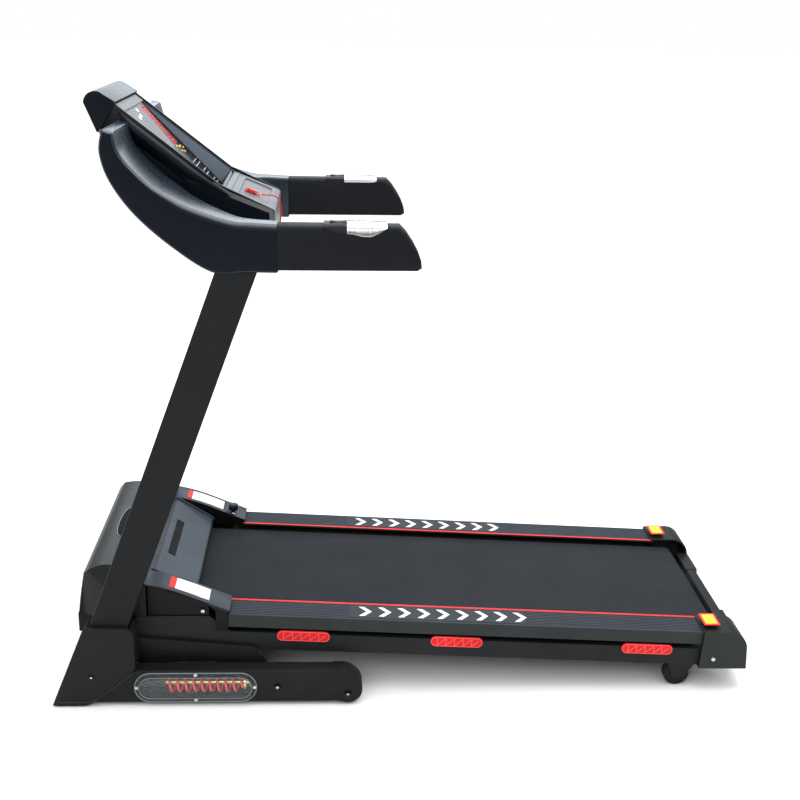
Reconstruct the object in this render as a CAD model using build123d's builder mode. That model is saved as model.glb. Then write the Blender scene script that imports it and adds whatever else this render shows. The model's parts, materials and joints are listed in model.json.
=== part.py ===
"""Folding motorised treadmill with a lifting deck, in millimetres.

Frame: +X runs from the console towards the rear of the belt, +Y to the user's right hand, +Z up.
The origin is on the floor, under the middle of the machine. The user's left side is at -Y.
"""
import os
from math import atan, atan2, cos, hypot, pi, radians, sin, tan

from build123d import *

os.makedirs("parts", exist_ok=True)

# ---- Driving dimensions -------------------------------------------------------------------------
SIDES = {"left": -1, "right": 1}
RUN_GAP = 0.05            # radial clearance of a shaft in its bore
SHEET = 2.5               # wall of the welded steel tubes
SHELL = 3.0               # wall of the moulded covers

# Base frame
TUBE_OUTER = 355.0        # |Y| of the outer face of the base tubes
TUBE_WIDTH = 40.0
TUBE_LOW, TUBE_TOP = 8.0, 88.0
TUBE_FRONT, TUBE_REAR = -750.0, -171.0
FRONT_CROSS = (-752.0, -722.0, 8.0, 36.0)      # X from, X to, Z from, Z to
MID_CROSS = (-432.0, -402.0, 12.0, 44.0)
WHEEL_X, WHEEL_R = -136.0, 27.0
WHEEL_WIDTH = 22.0

# Uprights
LEAN = radians(20.08)     # towards the rear, from vertical
UPRIGHT_X200 = -664.0     # centre line at Z = 200
UPRIGHT_DEPTH, UPRIGHT_WIDTH = 80.0, 40.0
UPRIGHT_OUTER = 350.0
UPRIGHT_TOP = 996.0

# Window and spring damper in each base tube
WINDOW_X, WINDOW_Z = -478.0, 47.0
WINDOW_LENGTH, WINDOW_HEIGHT = 274.0, 74.0
DAMPER_Y = 335.0
SPRING_FRONT, SPRING_REAR = -548.0, -371.0
SPRING_MEAN_R, SPRING_WIRE_R, SPRING_TURNS = 14.4, 2.2, 9.5

# Lift frame: pivots on the base at LIFT, carries the deck at FOLD
LIFT_X, LIFT_Z = -345.0, 24.0
FOLD_X, FOLD_Z = -650.0, 130.0
CRANK_Z = 48.0
LIFT_ARM_IN, LIFT_ARM_OUT = 295.0, 303.0
LIFT_CROSS_X = -602.0
SHAFT_R = 10.0

SCREW_FROM, SCREW_TO = (-577.0, 59.0), (-308.0, 76.0)
STRUT_FROM, STRUT_TO = (-590.0, 100.0), (-250.0, 100.0)
STRUT_Y = 236.0

# Deck, drawn along its own slope
DECK_SLOPE = atan(0.0452)
RAIL_TOP_AT_0 = 175.6     # Z of the rail top where X = 0
RAIL_IN, RAIL_OUT = 211.0, 290.0
RAIL_FRONT, RAIL_REAR = -408.0, 697.0
APRON = 31.0              # depth of the rail's side skirt
FRAME_HIGH, FRAME_LOW = -43.0, -85.0           # deck side tubes, below the rail top
BELT_DROP = 16.0          # belt top below rail top
BELT_HALF, BELT_THICK = 207.0, 2.0
ROLLER_R, ROLLER_HALF = 21.0, 214.0
FRONT_ROLLER_X, REAR_ROLLER_X = -532.0, 729.0
BOARD_THICK = 18.0
CASTER_X, CASTER_R, CASTER_Y = 640.0, 30.5, 268.0
PAD_MIDDLES = (-236.5, 116.0, 563.0)
PAD_LENGTH, PAD_HEIGHT = 124.0, 29.0

# Hood over the motor
HOOD_IN, HOOD_OUT = 250.0, 290.0

# Console, arms and handles
ARM_OUTER = 357.0
HANDLE_SEAM = -290.0
HANDLE_IN = 300.0
CONSOLE_HALF = 150.0
PANEL_TOP, PANEL_KNEE, PANEL_END = (-633.0, 1305.0), (-418.0, 1141.0), (-305.0, 1090.0)


def at_side(side, reach):
    """Plane parallel to XZ at Y = side * reach, drawn in X and Z, normal towards -Y."""
    return Plane.XZ.offset(-side * reach)


def deck_side(side, reach):
    """Like at_side, but drawn along the deck: x along the slope, y up from the rail top."""
    return Plane(
        origin=(0, side * reach, RAIL_TOP_AT_0),
        x_dir=(cos(DECK_SLOPE), 0, -sin(DECK_SLOPE)),
        z_dir=(0, -1, 0),
    )


def deck_plan(height):
    """Plane along the deck at a height above the rail top, drawn in X and Y."""
    return Plane(
        origin=(0, 0, RAIL_TOP_AT_0),
        x_dir=(cos(DECK_SLOPE), 0, -sin(DECK_SLOPE)),
        z_dir=(sin(DECK_SLOPE), 0, cos(DECK_SLOPE)),
    ).offset(height)


def deck_point(x, height):
    """X and Z of a point on the deck, x along it and height above the rail top."""
    return (
        x * cos(DECK_SLOPE) + height * sin(DECK_SLOPE),
        RAIL_TOP_AT_0 - x * sin(DECK_SLOPE) + height * cos(DECK_SLOPE),
    )


def upright_x(z):
    """X of the upright's centre line at height z."""
    return UPRIGHT_X200 + (z - 200.0) * tan(LEAN)


def moved_in(points, inset):
    """Points of a curve moved to its left by a wall's thickness."""
    moved = []
    for i, (x, z) in enumerate(points):
        before, after = points[max(i - 1, 0)], points[min(i + 1, len(points) - 1)]
        run = hypot(after[0] - before[0], after[1] - before[1])
        moved.append((x - inset * (after[1] - before[1]) / run, z + inset * (after[0] - before[0]) / run))
    return moved


def finish(builder, name):
    """Label a finished sub-part and write it."""
    builder.part.label = name
    export_step(builder.part, f"parts/{name}.step")


# ---- Base frame ---------------------------------------------------------------------------------
TUBE_MID_Y = TUBE_OUTER - TUBE_WIDTH / 2
TUBE_MID_Z = (TUBE_LOW + TUBE_TOP) / 2
TUBE_INNER = TUBE_OUTER - TUBE_WIDTH

for word, side in SIDES.items():
    with BuildPart() as base_tube:
        with BuildSketch(Plane.YZ.offset(TUBE_FRONT)):
            with Locations((side * TUBE_MID_Y, TUBE_MID_Z)):
                RectangleRounded(TUBE_WIDTH, TUBE_TOP - TUBE_LOW, 4)
                RectangleRounded(TUBE_WIDTH - 2 * SHEET, TUBE_TOP - TUBE_LOW - 2 * SHEET, 1.5,
                                 mode=Mode.SUBTRACT)
        extrude(amount=TUBE_REAR - TUBE_FRONT)
        # The window in the outer wall
        with BuildSketch(at_side(side, TUBE_OUTER + 1)):
            with Locations((WINDOW_X, WINDOW_Z)):
                SlotOverall(WINDOW_LENGTH - 26, WINDOW_HEIGHT - 26)
        extrude(amount=side * (SHEET + 2), mode=Mode.SUBTRACT)
        # Pivot hole and crank slot in the inner wall
        with BuildSketch(at_side(side, TUBE_INNER - 1)):
            with Locations((LIFT_X, LIFT_Z)):
                Circle(7)
            with Locations((LIFT_X + 3.5, CRANK_Z)):
                SlotOverall(20, 12.5)
        extrude(amount=-side * (SHEET + 2), mode=Mode.SUBTRACT)
        # Rounded rear end: two cheeks and a bridge around the transport wheel
        with BuildSketch(at_side(side, TUBE_OUTER)):
            with BuildLine():
                Polyline((TUBE_REAR, TUBE_LOW + 4), (TUBE_REAR, TUBE_TOP), (-150, TUBE_TOP))
                ThreePointArc((-150, TUBE_TOP), (-117, 73), (-104, 44))
                ThreePointArc((-104, 44), (-112, 16), (-136, 5))
                Line((-136, 5), (TUBE_REAR, TUBE_LOW + 4))
            make_face()
        extrude(amount=side * TUBE_WIDTH)
        with BuildSketch(at_side(side, TUBE_OUTER - 5)):
            with BuildLine():
                Polyline((TUBE_REAR - 1, TUBE_LOW + SHEET), (TUBE_REAR - 1, TUBE_TOP - 4), (-152, TUBE_TOP - 4))
                ThreePointArc((-152, TUBE_TOP - 4), (-119, 69), (-107, 40))
                Polyline((-107, 40), (-90, 40), (-90, 0), (-120, 0), (TUBE_REAR - 1, TUBE_LOW + SHEET))
            make_face()
        extrude(amount=side * (TUBE_WIDTH - 10), mode=Mode.SUBTRACT)
        with BuildSketch(at_side(side, TUBE_OUTER + 1)):
            with Locations((WHEEL_X, WHEEL_R)):
                Circle(5)
        extrude(amount=side * (TUBE_WIDTH + 2), mode=Mode.SUBTRACT)
    finish(base_tube, f"base_tube_{word}")

with BuildPart() as base_cross_tubes:
    for x_low, x_high, z_low, z_high in (FRONT_CROSS, MID_CROSS):
        with BuildSketch(Plane.XZ.offset(-TUBE_INNER)):
            with Locations(((x_low + x_high) / 2, (z_low + z_high) / 2)):
                RectangleRounded(x_high - x_low, z_high - z_low, 3)
                RectangleRounded(x_high - x_low - 2 * SHEET, z_high - z_low - 2 * SHEET, 1,
                                 mode=Mode.SUBTRACT)
        extrude(amount=2 * TUBE_INNER)
    # Two plates that anchor the eye of the lift screw
    for side in SIDES.values():
        with BuildSketch(at_side(side, 18)):
            with BuildLine():
                Polyline((MID_CROSS[1], 16), (MID_CROSS[1], 42), (-322, 88), (-298, 88), (-298, 64),
                         (-370, 16), (MID_CROSS[1], 16))
            make_face()
            with Locations(SCREW_TO):
                Circle(6, mode=Mode.SUBTRACT)
        extrude(amount=-side * 6)
finish(base_cross_tubes, "base_cross_tubes")

COVER_OUTER, COVER_INNER = 360.0, 306.0
with BuildPart() as base_covers:
    for side in SIDES.values():
        with BuildSketch(at_side(side, COVER_OUTER)):
            with BuildLine():
                Polyline((-797, 4), (-720, 196), (-632, 196))
                RadiusArc((-632, 196), (-611, 174), 24)
                Polyline((-611, 174), (-610, 96), (-710, 11), (-719, 4), (-797, 4))
            make_face()
        extrude(amount=side * (COVER_OUTER - COVER_INNER))
        with BuildSketch(at_side(side, COVER_OUTER - SHELL)):
            with BuildLine():
                Polyline((-792, 7), (-718, 193), (-633, 193))
                RadiusArc((-633, 193), (-614, 173), 21)
                Polyline((-614, 173), (-613, 97), (-711, 15), (-720, 7), (-792, 7))
            make_face()
        extrude(amount=side * (COVER_OUTER - SHELL - COVER_INNER), mode=Mode.SUBTRACT)
        # Room for the base tube, and for the upright in the top edge
        with BuildSketch(Plane.YZ.offset(TUBE_FRONT)):
            with Locations((side * TUBE_MID_Y, TUBE_MID_Z)):
                Rectangle(TUBE_WIDTH + 1, TUBE_TOP - TUBE_LOW + 1)
        extrude(amount=160, mode=Mode.SUBTRACT)
        with BuildSketch(Plane.XY.offset(185)):
            with Locations((upright_x(194), side * (UPRIGHT_OUTER - UPRIGHT_WIDTH / 2))):
                Rectangle(93, UPRIGHT_WIDTH + 1.2)
        extrude(amount=20, mode=Mode.SUBTRACT)
finish(base_covers, "base_covers")

with BuildPart() as front_feet:
    for side in SIDES.values():
        with BuildSketch(Plane.XY):
            with Locations((-757, side * 333)):
                RectangleRounded(66, 46, 6)
        extrude(amount=4)
finish(front_feet, "front_feet")

for word, side in SIDES.items():
    upright_plane = Plane(
        origin=(upright_x(0), side * (UPRIGHT_OUTER - UPRIGHT_WIDTH / 2), 0),
        x_dir=(cos(LEAN), 0, -sin(LEAN)),
        z_dir=(sin(LEAN), 0, cos(LEAN)),
    )
    with BuildPart() as upright:
        with BuildSketch(upright_plane):
            RectangleRounded(UPRIGHT_DEPTH, UPRIGHT_WIDTH, 4)
            RectangleRounded(UPRIGHT_DEPTH - 2 * SHEET, UPRIGHT_WIDTH - 2 * SHEET, 1.5, mode=Mode.SUBTRACT)
        extrude(amount=1200)
        split(bisect_by=Plane.XY.offset(TUBE_TOP), keep=Keep.TOP)
        split(bisect_by=Plane.XY.offset(UPRIGHT_TOP), keep=Keep.BOTTOM)
    finish(upright, f"upright_{word}")

# ---- Window covers and spring dampers -----------------------------------------------------------
with BuildPart() as window_covers:
    for side in SIDES.values():
        for inset, reach, thick in ((0, TUBE_OUTER, 2.0), (20, TUBE_OUTER + 2, 4.5)):
            with BuildSketch(at_side(side, reach)):
                with Locations((WINDOW_X, WINDOW_Z)):
                    SlotOverall(WINDOW_LENGTH - inset, WINDOW_HEIGHT - inset)
            extrude(amount=-side * thick)
        with BuildSketch(at_side(side, TUBE_OUTER)):
            with Locations((WINDOW_X, WINDOW_Z)):
                SlotOverall(WINDOW_LENGTH - 26, WINDOW_HEIGHT - 26)
        extrude(amount=-side * 4.5, mode=Mode.SUBTRACT)
finish(window_covers, "window_covers")

with BuildPart() as damper_cylinders:
    for side in SIDES.values():
        for x_from, x_to, radius in ((-606, -600, 12), (-600, -554, 14), (-554, SPRING_FRONT, 16.5)):
            with BuildSketch(Plane.YZ.offset(x_from)):
                with Locations((side * DAMPER_Y, CRANK_Z)):
                    Circle(radius)
            extrude(amount=x_to - x_from)
        with BuildSketch(Plane.YZ.offset(-596)):
            with Locations((side * DAMPER_Y, CRANK_Z)):
                Circle(5 + RUN_GAP)
        extrude(amount=60, mode=Mode.SUBTRACT)
        # Lug that bolts the cylinder to the inner wall of the tube
        with BuildSketch(Plane.YZ.offset(-618)):
            with Locations((side * (TUBE_INNER + SHEET + 16), CRANK_Z)):
                Rectangle(32, 20)
        extrude(amount=12)
finish(damper_cylinders, "damper_cylinders")

with BuildPart() as damper_rods:
    for side in SIDES.values():
        rod_steps = ((-580, SPRING_REAR, 5), (SPRING_REAR, SPRING_REAR + 5, 16.5), (SPRING_REAR + 5, -358, 7))
        for x_from, x_to, radius in rod_steps:
            with BuildSketch(Plane.YZ.offset(x_from)):
                with Locations((side * DAMPER_Y, CRANK_Z)):
                    Circle(radius)
            extrude(amount=x_to - x_from)
        # Eye with an upright slot for the crank pin
        with BuildSketch(at_side(side, DAMPER_Y - 6)):
            with Locations((LIFT_X, CRANK_Z)):
                RectangleRounded(26, 26, 5)
                SlotCenterToCenter(3, 10.8, rotation=90, mode=Mode.SUBTRACT)
        extrude(amount=-side * 12)
finish(damper_rods, "damper_rods")

with BuildPart() as coil_springs:
    spring_length = SPRING_REAR - SPRING_FRONT - 2 * SPRING_WIRE_R - 2.0
    spring_start = SPRING_FRONT + SPRING_WIRE_R + 1.0
    for side in SIDES.values():
        with BuildLine() as coil:
            Helix(pitch=spring_length / SPRING_TURNS, height=spring_length, radius=SPRING_MEAN_R,
                  center=(spring_start, side * DAMPER_Y, CRANK_Z), direction=(1, 0, 0))
        with BuildSketch(Plane(origin=coil.line @ 0, z_dir=coil.line % 0)):
            Circle(SPRING_WIRE_R)
        sweep(path=coil.line)
finish(coil_springs, "coil_springs")

# ---- Screws and pivot pins of the base ----------------------------------------------------------
with BuildPart() as base_fasteners:
    for side in SIDES.values():
        # Window screws
        with BuildSketch(at_side(side, TUBE_OUTER + 2)):
            with Locations((WINDOW_X - 131.5, WINDOW_Z), (WINDOW_X + 131.5, WINDOW_Z),
                           (WINDOW_X, WINDOW_Z - 31.5), (WINDOW_X, WINDOW_Z + 31.5)):
                Circle(3.6)
        extrude(amount=-side * 2)
        # Bolt through the cover into the tube, and one in the tube's side
        with BuildSketch(at_side(side, COVER_OUTER)):
            with Locations((-708, 75)):
                Circle(4.5)
        extrude(amount=-side * 1.5)
        with BuildSketch(at_side(side, TUBE_OUTER)):
            with Locations((-295, 46)):
                Circle(6)
        extrude(amount=-side * 3)
        # Pivot pin of the lift frame
        with BuildSketch(at_side(side, LIFT_ARM_IN - 3)):
            with Locations((LIFT_X, LIFT_Z)):
                Circle(7)
        extrude(amount=-side * (TUBE_INNER + SHEET - LIFT_ARM_IN + 8))
        # Axle of the transport wheel
        with BuildSketch(at_side(side, TUBE_INNER - 3)):
            with Locations((WHEEL_X, WHEEL_R)):
                Circle(5)
        extrude(amount=-side * (TUBE_WIDTH + 5))
finish(base_fasteners, "base_fasteners")

for word, side in SIDES.items():
    with BuildPart() as transport_wheel:
        with BuildSketch(at_side(side, TUBE_MID_Y - WHEEL_WIDTH / 2)):
            with Locations((WHEEL_X, WHEEL_R)):
                Circle(WHEEL_R)
                Circle(5 + RUN_GAP, mode=Mode.SUBTRACT)
        extrude(amount=-side * WHEEL_WIDTH)
        rim_edges = transport_wheel.edges().filter_by(GeomType.CIRCLE).filter_by(lambda e: e.radius > 20)
        fillet(rim_edges, 3)
    finish(transport_wheel, f"transport_wheel_{word}")

# ---- Lift frame, hinge shaft and lift motor -----------------------------------------------------
for word, side in SIDES.items():
    with BuildPart() as lift_arm:
        with BuildSketch(at_side(side, LIFT_ARM_IN)):
            with BuildLine():
                Polyline((-610, 78), (-434, 81), (-405, 52), (-368, 18))
                ThreePointArc((-368, 18), (-345, 6), (-322, 22))
                Polyline((-322, 22), (-322, 84), (-350, 118), (-608, 142))
                ThreePointArc((-608, 142), (-664, 153), (-672, 112))
                Line((-672, 112), (-610, 78))
            make_face()
            with Locations((LIFT_X, LIFT_Z)):
                Circle(7 + RUN_GAP, mode=Mode.SUBTRACT)
            with Locations((FOLD_X, FOLD_Z)):
                Circle(SHAFT_R + RUN_GAP, mode=Mode.SUBTRACT)
        extrude(amount=-side * (LIFT_ARM_OUT - LIFT_ARM_IN))
        # Crank pin that moves the damper rod
        with BuildSketch(at_side(side, LIFT_ARM_OUT)):
            with Locations((LIFT_X, CRANK_Z)):
                Circle(5)
        extrude(amount=-side * (DAMPER_Y + 8 - LIFT_ARM_OUT))
    finish(lift_arm, f"lift_arm_{word}")

with BuildPart() as lift_cross_tubes:
    # Middle tube, straight to the right arm; on the left it steps up over a higher end tube
    for y_from, y_to, z_low, z_high in ((190, -LIFT_ARM_IN, 48, 80), (LIFT_ARM_IN, 150, 80, 106)):
        with BuildSketch(Plane.XZ.offset(y_to)):
            with Locations((LIFT_CROSS_X, (z_low + z_high) / 2)):
                RectangleRounded(26, z_high - z_low, 3)
                RectangleRounded(26 - 2 * SHEET, z_high - z_low - 2 * SHEET, 1, mode=Mode.SUBTRACT)
        extrude(amount=y_from - y_to)
    # Ears that hold the lift motor
    for side in SIDES.values():
        with BuildSketch(at_side(side, 34)):
            with BuildLine():
                Polyline((-589, 48), (-568, 48), (-568, 72), (-589, 72), (-589, 48))
            make_face()
            with Locations(SCREW_FROM):
                Circle(5, mode=Mode.SUBTRACT)
        extrude(amount=-side * 5)
finish(lift_cross_tubes, "lift_cross_tubes")

with BuildPart() as hinge_shaft:
    with BuildSketch(Plane.XZ.offset(-LIFT_ARM_OUT - 1)):
        with Locations((FOLD_X, FOLD_Z)):
            Circle(SHAFT_R)
    extrude(amount=2 * LIFT_ARM_OUT + 2)
    # Lever that carries the foot of the fold strut
    for reach in (STRUT_Y + 12, STRUT_Y - 16):
        with BuildSketch(Plane.XZ.offset(-reach)):
            with BuildLine():
                Polyline((-652, 114), (-592, 90), (-582, 94), (-580, 106), (-640, 128), (-652, 114))
            make_face()
        extrude(amount=-4)
    with BuildSketch(Plane.XZ.offset(-(STRUT_Y + 16))):
        with Locations(STRUT_FROM):
            Circle(5)
    extrude(amount=32)
finish(hinge_shaft, "hinge_shaft")

# The lift screw lies from the motor ears to the lug on the middle cross tube
SCREW_TILT = atan2(SCREW_TO[1] - SCREW_FROM[1], SCREW_TO[0] - SCREW_FROM[0])
SCREW_SPAN = hypot(SCREW_TO[0] - SCREW_FROM[0], SCREW_TO[1] - SCREW_FROM[1])


def screw_plane(distance):
    """Plane across the lift screw, at a distance from the motor's pivot."""
    return Plane(
        origin=(SCREW_FROM[0] + distance * cos(SCREW_TILT), 0, SCREW_FROM[1] + distance * sin(SCREW_TILT)),
        x_dir=(0, 1, 0),
        z_dir=(cos(SCREW_TILT), 0, sin(SCREW_TILT)),
    )


with BuildPart() as lift_motor:
    with BuildSketch(screw_plane(-9)):
        RectangleRounded(64, 22, 3)
    extrude(amount=20)
    with BuildSketch(screw_plane(11)):
        RectangleRounded(64, 38, 8)
    extrude(amount=44)
    with BuildSketch(screw_plane(55)):
        Circle(15)
    extrude(amount=82)
    with BuildSketch(screw_plane(20)):
        Circle(8 + RUN_GAP)
    extrude(amount=130, mode=Mode.SUBTRACT)
    with BuildSketch(Plane.XZ.offset(-39)):
        with Locations(SCREW_FROM):
            Circle(5 - RUN_GAP)
    extrude(amount=78)
finish(lift_motor, "lift_motor")

with BuildPart() as lift_screw:
    with BuildSketch(screw_plane(45)):
        Circle(8)
    extrude(amount=SCREW_SPAN - 45 - 14)
    for radius, half in ((11, 17), (5, 26)):
        with BuildSketch(Plane.XZ.offset(-half)):
            with Locations(SCREW_TO):
                Circle(radius)
        extrude(amount=2 * half)
    with BuildSketch(screw_plane(SCREW_SPAN - 20)):
        Rectangle(30, 14)
    extrude(amount=14)
finish(lift_screw, "lift_screw")

# ---- Deck frame ---------------------------------------------------------------------------------
FRAME_IN, FRAME_REAR = 258.0, 712.0
for word, side in SIDES.items():
    with BuildPart() as deck_tube:
        # Side tube under the rail, open at both ends
        with BuildSketch(deck_side(side, RAIL_OUT)):
            with Locations(((RAIL_FRONT + FRAME_REAR) / 2, (FRAME_HIGH + FRAME_LOW) / 2)):
                Rectangle(FRAME_REAR - RAIL_FRONT, FRAME_HIGH - FRAME_LOW)
        extrude(amount=side * (RAIL_OUT - FRAME_IN))
        with BuildSketch(deck_side(side, RAIL_OUT - SHEET)):
            with Locations(((RAIL_FRONT + FRAME_REAR) / 2, (FRAME_HIGH + FRAME_LOW) / 2)):
                Rectangle(FRAME_REAR - RAIL_FRONT + 4, FRAME_HIGH - FRAME_LOW - 2 * SHEET)
        extrude(amount=side * (RAIL_OUT - FRAME_IN - 2 * SHEET), mode=Mode.SUBTRACT)
        # Front side plate, from the tube to the fold hinge
        with BuildSketch(at_side(side, RAIL_OUT)):
            with BuildLine():
                Polyline((-404, 106), (-404, 150), (-451, 190), (-610, 190), (-672, 158))
                ThreePointArc((-672, 158), (-678, 122), (-655, 106))
                Line((-655, 106), (-404, 106))
            make_face()
            with Locations((FOLD_X, FOLD_Z)):
                Circle(SHAFT_R + RUN_GAP, mode=Mode.SUBTRACT)
        extrude(amount=side * 6)
        # Caster fork under the tube
        fork_top = deck_point(CASTER_X, FRAME_LOW)[1]
        for reach in (CASTER_Y - 15, CASTER_Y + 18):
            with BuildSketch(at_side(side, reach)):
                with BuildLine():
                    Polyline((614, fork_top + 2.2), (680, fork_top - 0.8), (668, 44), (654, 26))
                    ThreePointArc((654, 26), (640, 17), (628, 26))
                    Line((628, 26), (614, fork_top + 2.2))
                make_face()
            extrude(amount=side * 3)
        with BuildSketch(at_side(side, CASTER_Y + 18)):
            with Locations((CASTER_X, CASTER_R)):
                Circle(5)
        extrude(amount=side * 36)
    finish(deck_tube, f"deck_tube_{word}")

with BuildPart() as deck_cross_members:
    for x in (-330, -60, 235, 560):
        with BuildSketch(deck_side(1, FRAME_IN)):
            with Locations((x, -48)):
                Rectangle(40, 20)
                Rectangle(40 - 2 * SHEET, 20 - 2 * SHEET, mode=Mode.SUBTRACT)
        extrude(amount=2 * FRAME_IN)
    # Stub that the fold strut pushes on, on the inner face of the right tube
    with BuildSketch(Plane.XZ.offset(-FRAME_IN)):
        with Locations(STRUT_TO):
            Circle(5)
    extrude(amount=FRAME_IN - STRUT_Y - 9)
    # Rear tube between the end caps
    with BuildSketch(Plane.XZ.offset(-110)):
        with Locations((777, 84)):
            RectangleRounded(26, 48, 5)
            RectangleRounded(26 - 2 * SHEET, 48 - 2 * SHEET, 2, mode=Mode.SUBTRACT)
    extrude(amount=220)
finish(deck_cross_members, "deck_cross_members")

with BuildPart() as deck_board:
    with BuildSketch(deck_plan(-BELT_DROP - BELT_THICK - 0.3 - BOARD_THICK)):
        with Locations((125, 0)):
            RectangleRounded(1120, 500, 6)
    extrude(amount=BOARD_THICK)
finish(deck_board, "deck_board")


def belt_loop(extra):
    """Closed racetrack around both rollers, drawn on the deck's side plane."""
    radius = ROLLER_R + extra
    height = -BELT_DROP - BELT_THICK - ROLLER_R
    with Locations(((FRONT_ROLLER_X + REAR_ROLLER_X) / 2, height)):
        SlotCenterToCenter(REAR_ROLLER_X - FRONT_ROLLER_X, 2 * radius)


ROLLER_LOW = -BELT_DROP - BELT_THICK - ROLLER_R
with BuildPart() as running_belt:
    with BuildSketch(deck_side(1, BELT_HALF)):
        belt_loop(BELT_THICK)
    extrude(amount=2 * BELT_HALF)
    with BuildSketch(deck_side(1, BELT_HALF + 1)):
        belt_loop(0.2)
    extrude(amount=2 * BELT_HALF + 2, mode=Mode.SUBTRACT)
finish(running_belt, "running_belt")

PULLEY_IN, PULLEY_OUT, PULLEY_R, DRIVEN_R = 218.0, 236.0, 18.0, 30.0
ROLLER_AXIS = deck_point(FRONT_ROLLER_X, ROLLER_LOW)
for name, roller_x in (("front_roller", FRONT_ROLLER_X), ("rear_roller", REAR_ROLLER_X)):
    with BuildPart() as roller:
        with BuildSketch(deck_side(1, ROLLER_HALF)):
            with Locations((roller_x, ROLLER_LOW)):
                Circle(ROLLER_R)
        extrude(amount=2 * ROLLER_HALF)
        with BuildSketch(deck_side(1, 240)):
            with Locations((roller_x, ROLLER_LOW)):
                Circle(7)
        extrude(amount=480)
        if name == "front_roller":
            # Pulley that the drive belt turns
            with BuildSketch(deck_side(1, -PULLEY_IN)):
                with Locations((roller_x, ROLLER_LOW)):
                    Circle(DRIVEN_R)
            extrude(amount=PULLEY_OUT - PULLEY_IN)
            with BuildSketch(deck_side(1, -ROLLER_HALF)):
                with Locations((roller_x, ROLLER_LOW)):
                    Circle(12)
            extrude(amount=PULLEY_IN - ROLLER_HALF)
    finish(roller, name)

# ---- Side rails, pads and end caps --------------------------------------------------------------
RIBS = [222 + 7.5 * i for i in range(9)]
for word, side in SIDES.items():
    with BuildPart() as side_rail:
        with BuildSketch(deck_side(side, RAIL_OUT)):
            with Locations(((RAIL_FRONT + RAIL_REAR) / 2, -APRON / 2)):
                Rectangle(RAIL_REAR - RAIL_FRONT, APRON)
        extrude(amount=side * (RAIL_OUT - RAIL_IN))
        with BuildSketch(deck_side(side, RAIL_OUT - 3)):
            with Locations(((RAIL_FRONT + RAIL_REAR) / 2, -APRON / 2 - 4)):
                Rectangle(RAIL_REAR - RAIL_FRONT + 2, APRON)
        extrude(amount=side * (RAIL_OUT - RAIL_IN), mode=Mode.SUBTRACT)
        # Shallow grooves along the standing surface
        with BuildSketch(deck_plan(-0.9)):
            with Locations(*[((RAIL_FRONT + RAIL_REAR) / 2, side * rib) for rib in RIBS]):
                Rectangle(RAIL_REAR - RAIL_FRONT, 2)
        extrude(amount=2, mode=Mode.SUBTRACT)
    finish(side_rail, f"side_rail_{word}")

with BuildPart() as rail_stripes:
    for side in SIDES.values():
        with BuildSketch(deck_plan(0)):
            with Locations(((RAIL_FRONT + RAIL_REAR) / 2, side * (RAIL_IN + 4))):
                Rectangle(RAIL_REAR - RAIL_FRONT, 6.5)
        extrude(amount=0.6)
finish(rail_stripes, "rail_stripes")

with BuildPart() as cushion_pads:
    for side in SIDES.values():
        for middle in PAD_MIDDLES:
            with BuildSketch(deck_side(side, RAIL_OUT + 0.2)):
                with Locations((middle, -APRON - 2 - PAD_HEIGHT / 2)):
                    SlotOverall(PAD_LENGTH, PAD_HEIGHT)
            extrude(amount=-side * 3.5)
finish(cushion_pads, "cushion_pads")

CAP_OUT, CAP_IN = 300.0, 211.0
CAP_TOP, CAP_LOW, CAP_REAR = 149.0, 54.0, 798.0
with BuildPart() as end_caps:
    for side in SIDES.values():
        with BuildSketch(at_side(side, CAP_OUT)):
            with BuildLine():
                Polyline((685, 55), (691, 148), (750, CAP_TOP))
                ThreePointArc((750, CAP_TOP), (784, 134), (795, 106))
                Polyline((795, 106), (CAP_REAR, 56), (796, CAP_LOW), (685, 55))
            make_face()
        extrude(amount=side * (CAP_OUT - CAP_IN))
        # Hollow that the rail and the deck tube run into, open to the front and inwards
        with BuildSketch(at_side(side, RAIL_OUT + 1)):
            with BuildLine():
                Polyline((680, 58), (680, 145.3), (750, 145.3))
                ThreePointArc((750, 145.3), (781, 131), (791, 106))
                Polyline((791, 106), (793, 58), (680, 58))
            make_face()
        extrude(amount=side * (RAIL_OUT + 1 - CAP_IN + 1), mode=Mode.SUBTRACT)
        # Wing that wraps inwards behind the rear roller
        with BuildSketch(at_side(side, CAP_IN)):
            with BuildLine():
                Polyline((764, 58), (764, 109), (794, 109), (CAP_REAR, 56), (764, 58))
            make_face()
        extrude(amount=side * (CAP_IN - 112))
finish(end_caps, "end_caps")

for word, side in SIDES.items():
    with BuildPart() as caster_wheel:
        with BuildSketch(at_side(side, CASTER_Y - 11)):
            with Locations((CASTER_X, CASTER_R)):
                Circle(CASTER_R)
                Circle(5 + RUN_GAP, mode=Mode.SUBTRACT)
        extrude(amount=-side * 22)
        tread = caster_wheel.edges().filter_by(GeomType.CIRCLE).filter_by(lambda e: e.radius > 20)
        fillet(tread, 3)
    finish(caster_wheel, f"caster_wheel_{word}")

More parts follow.
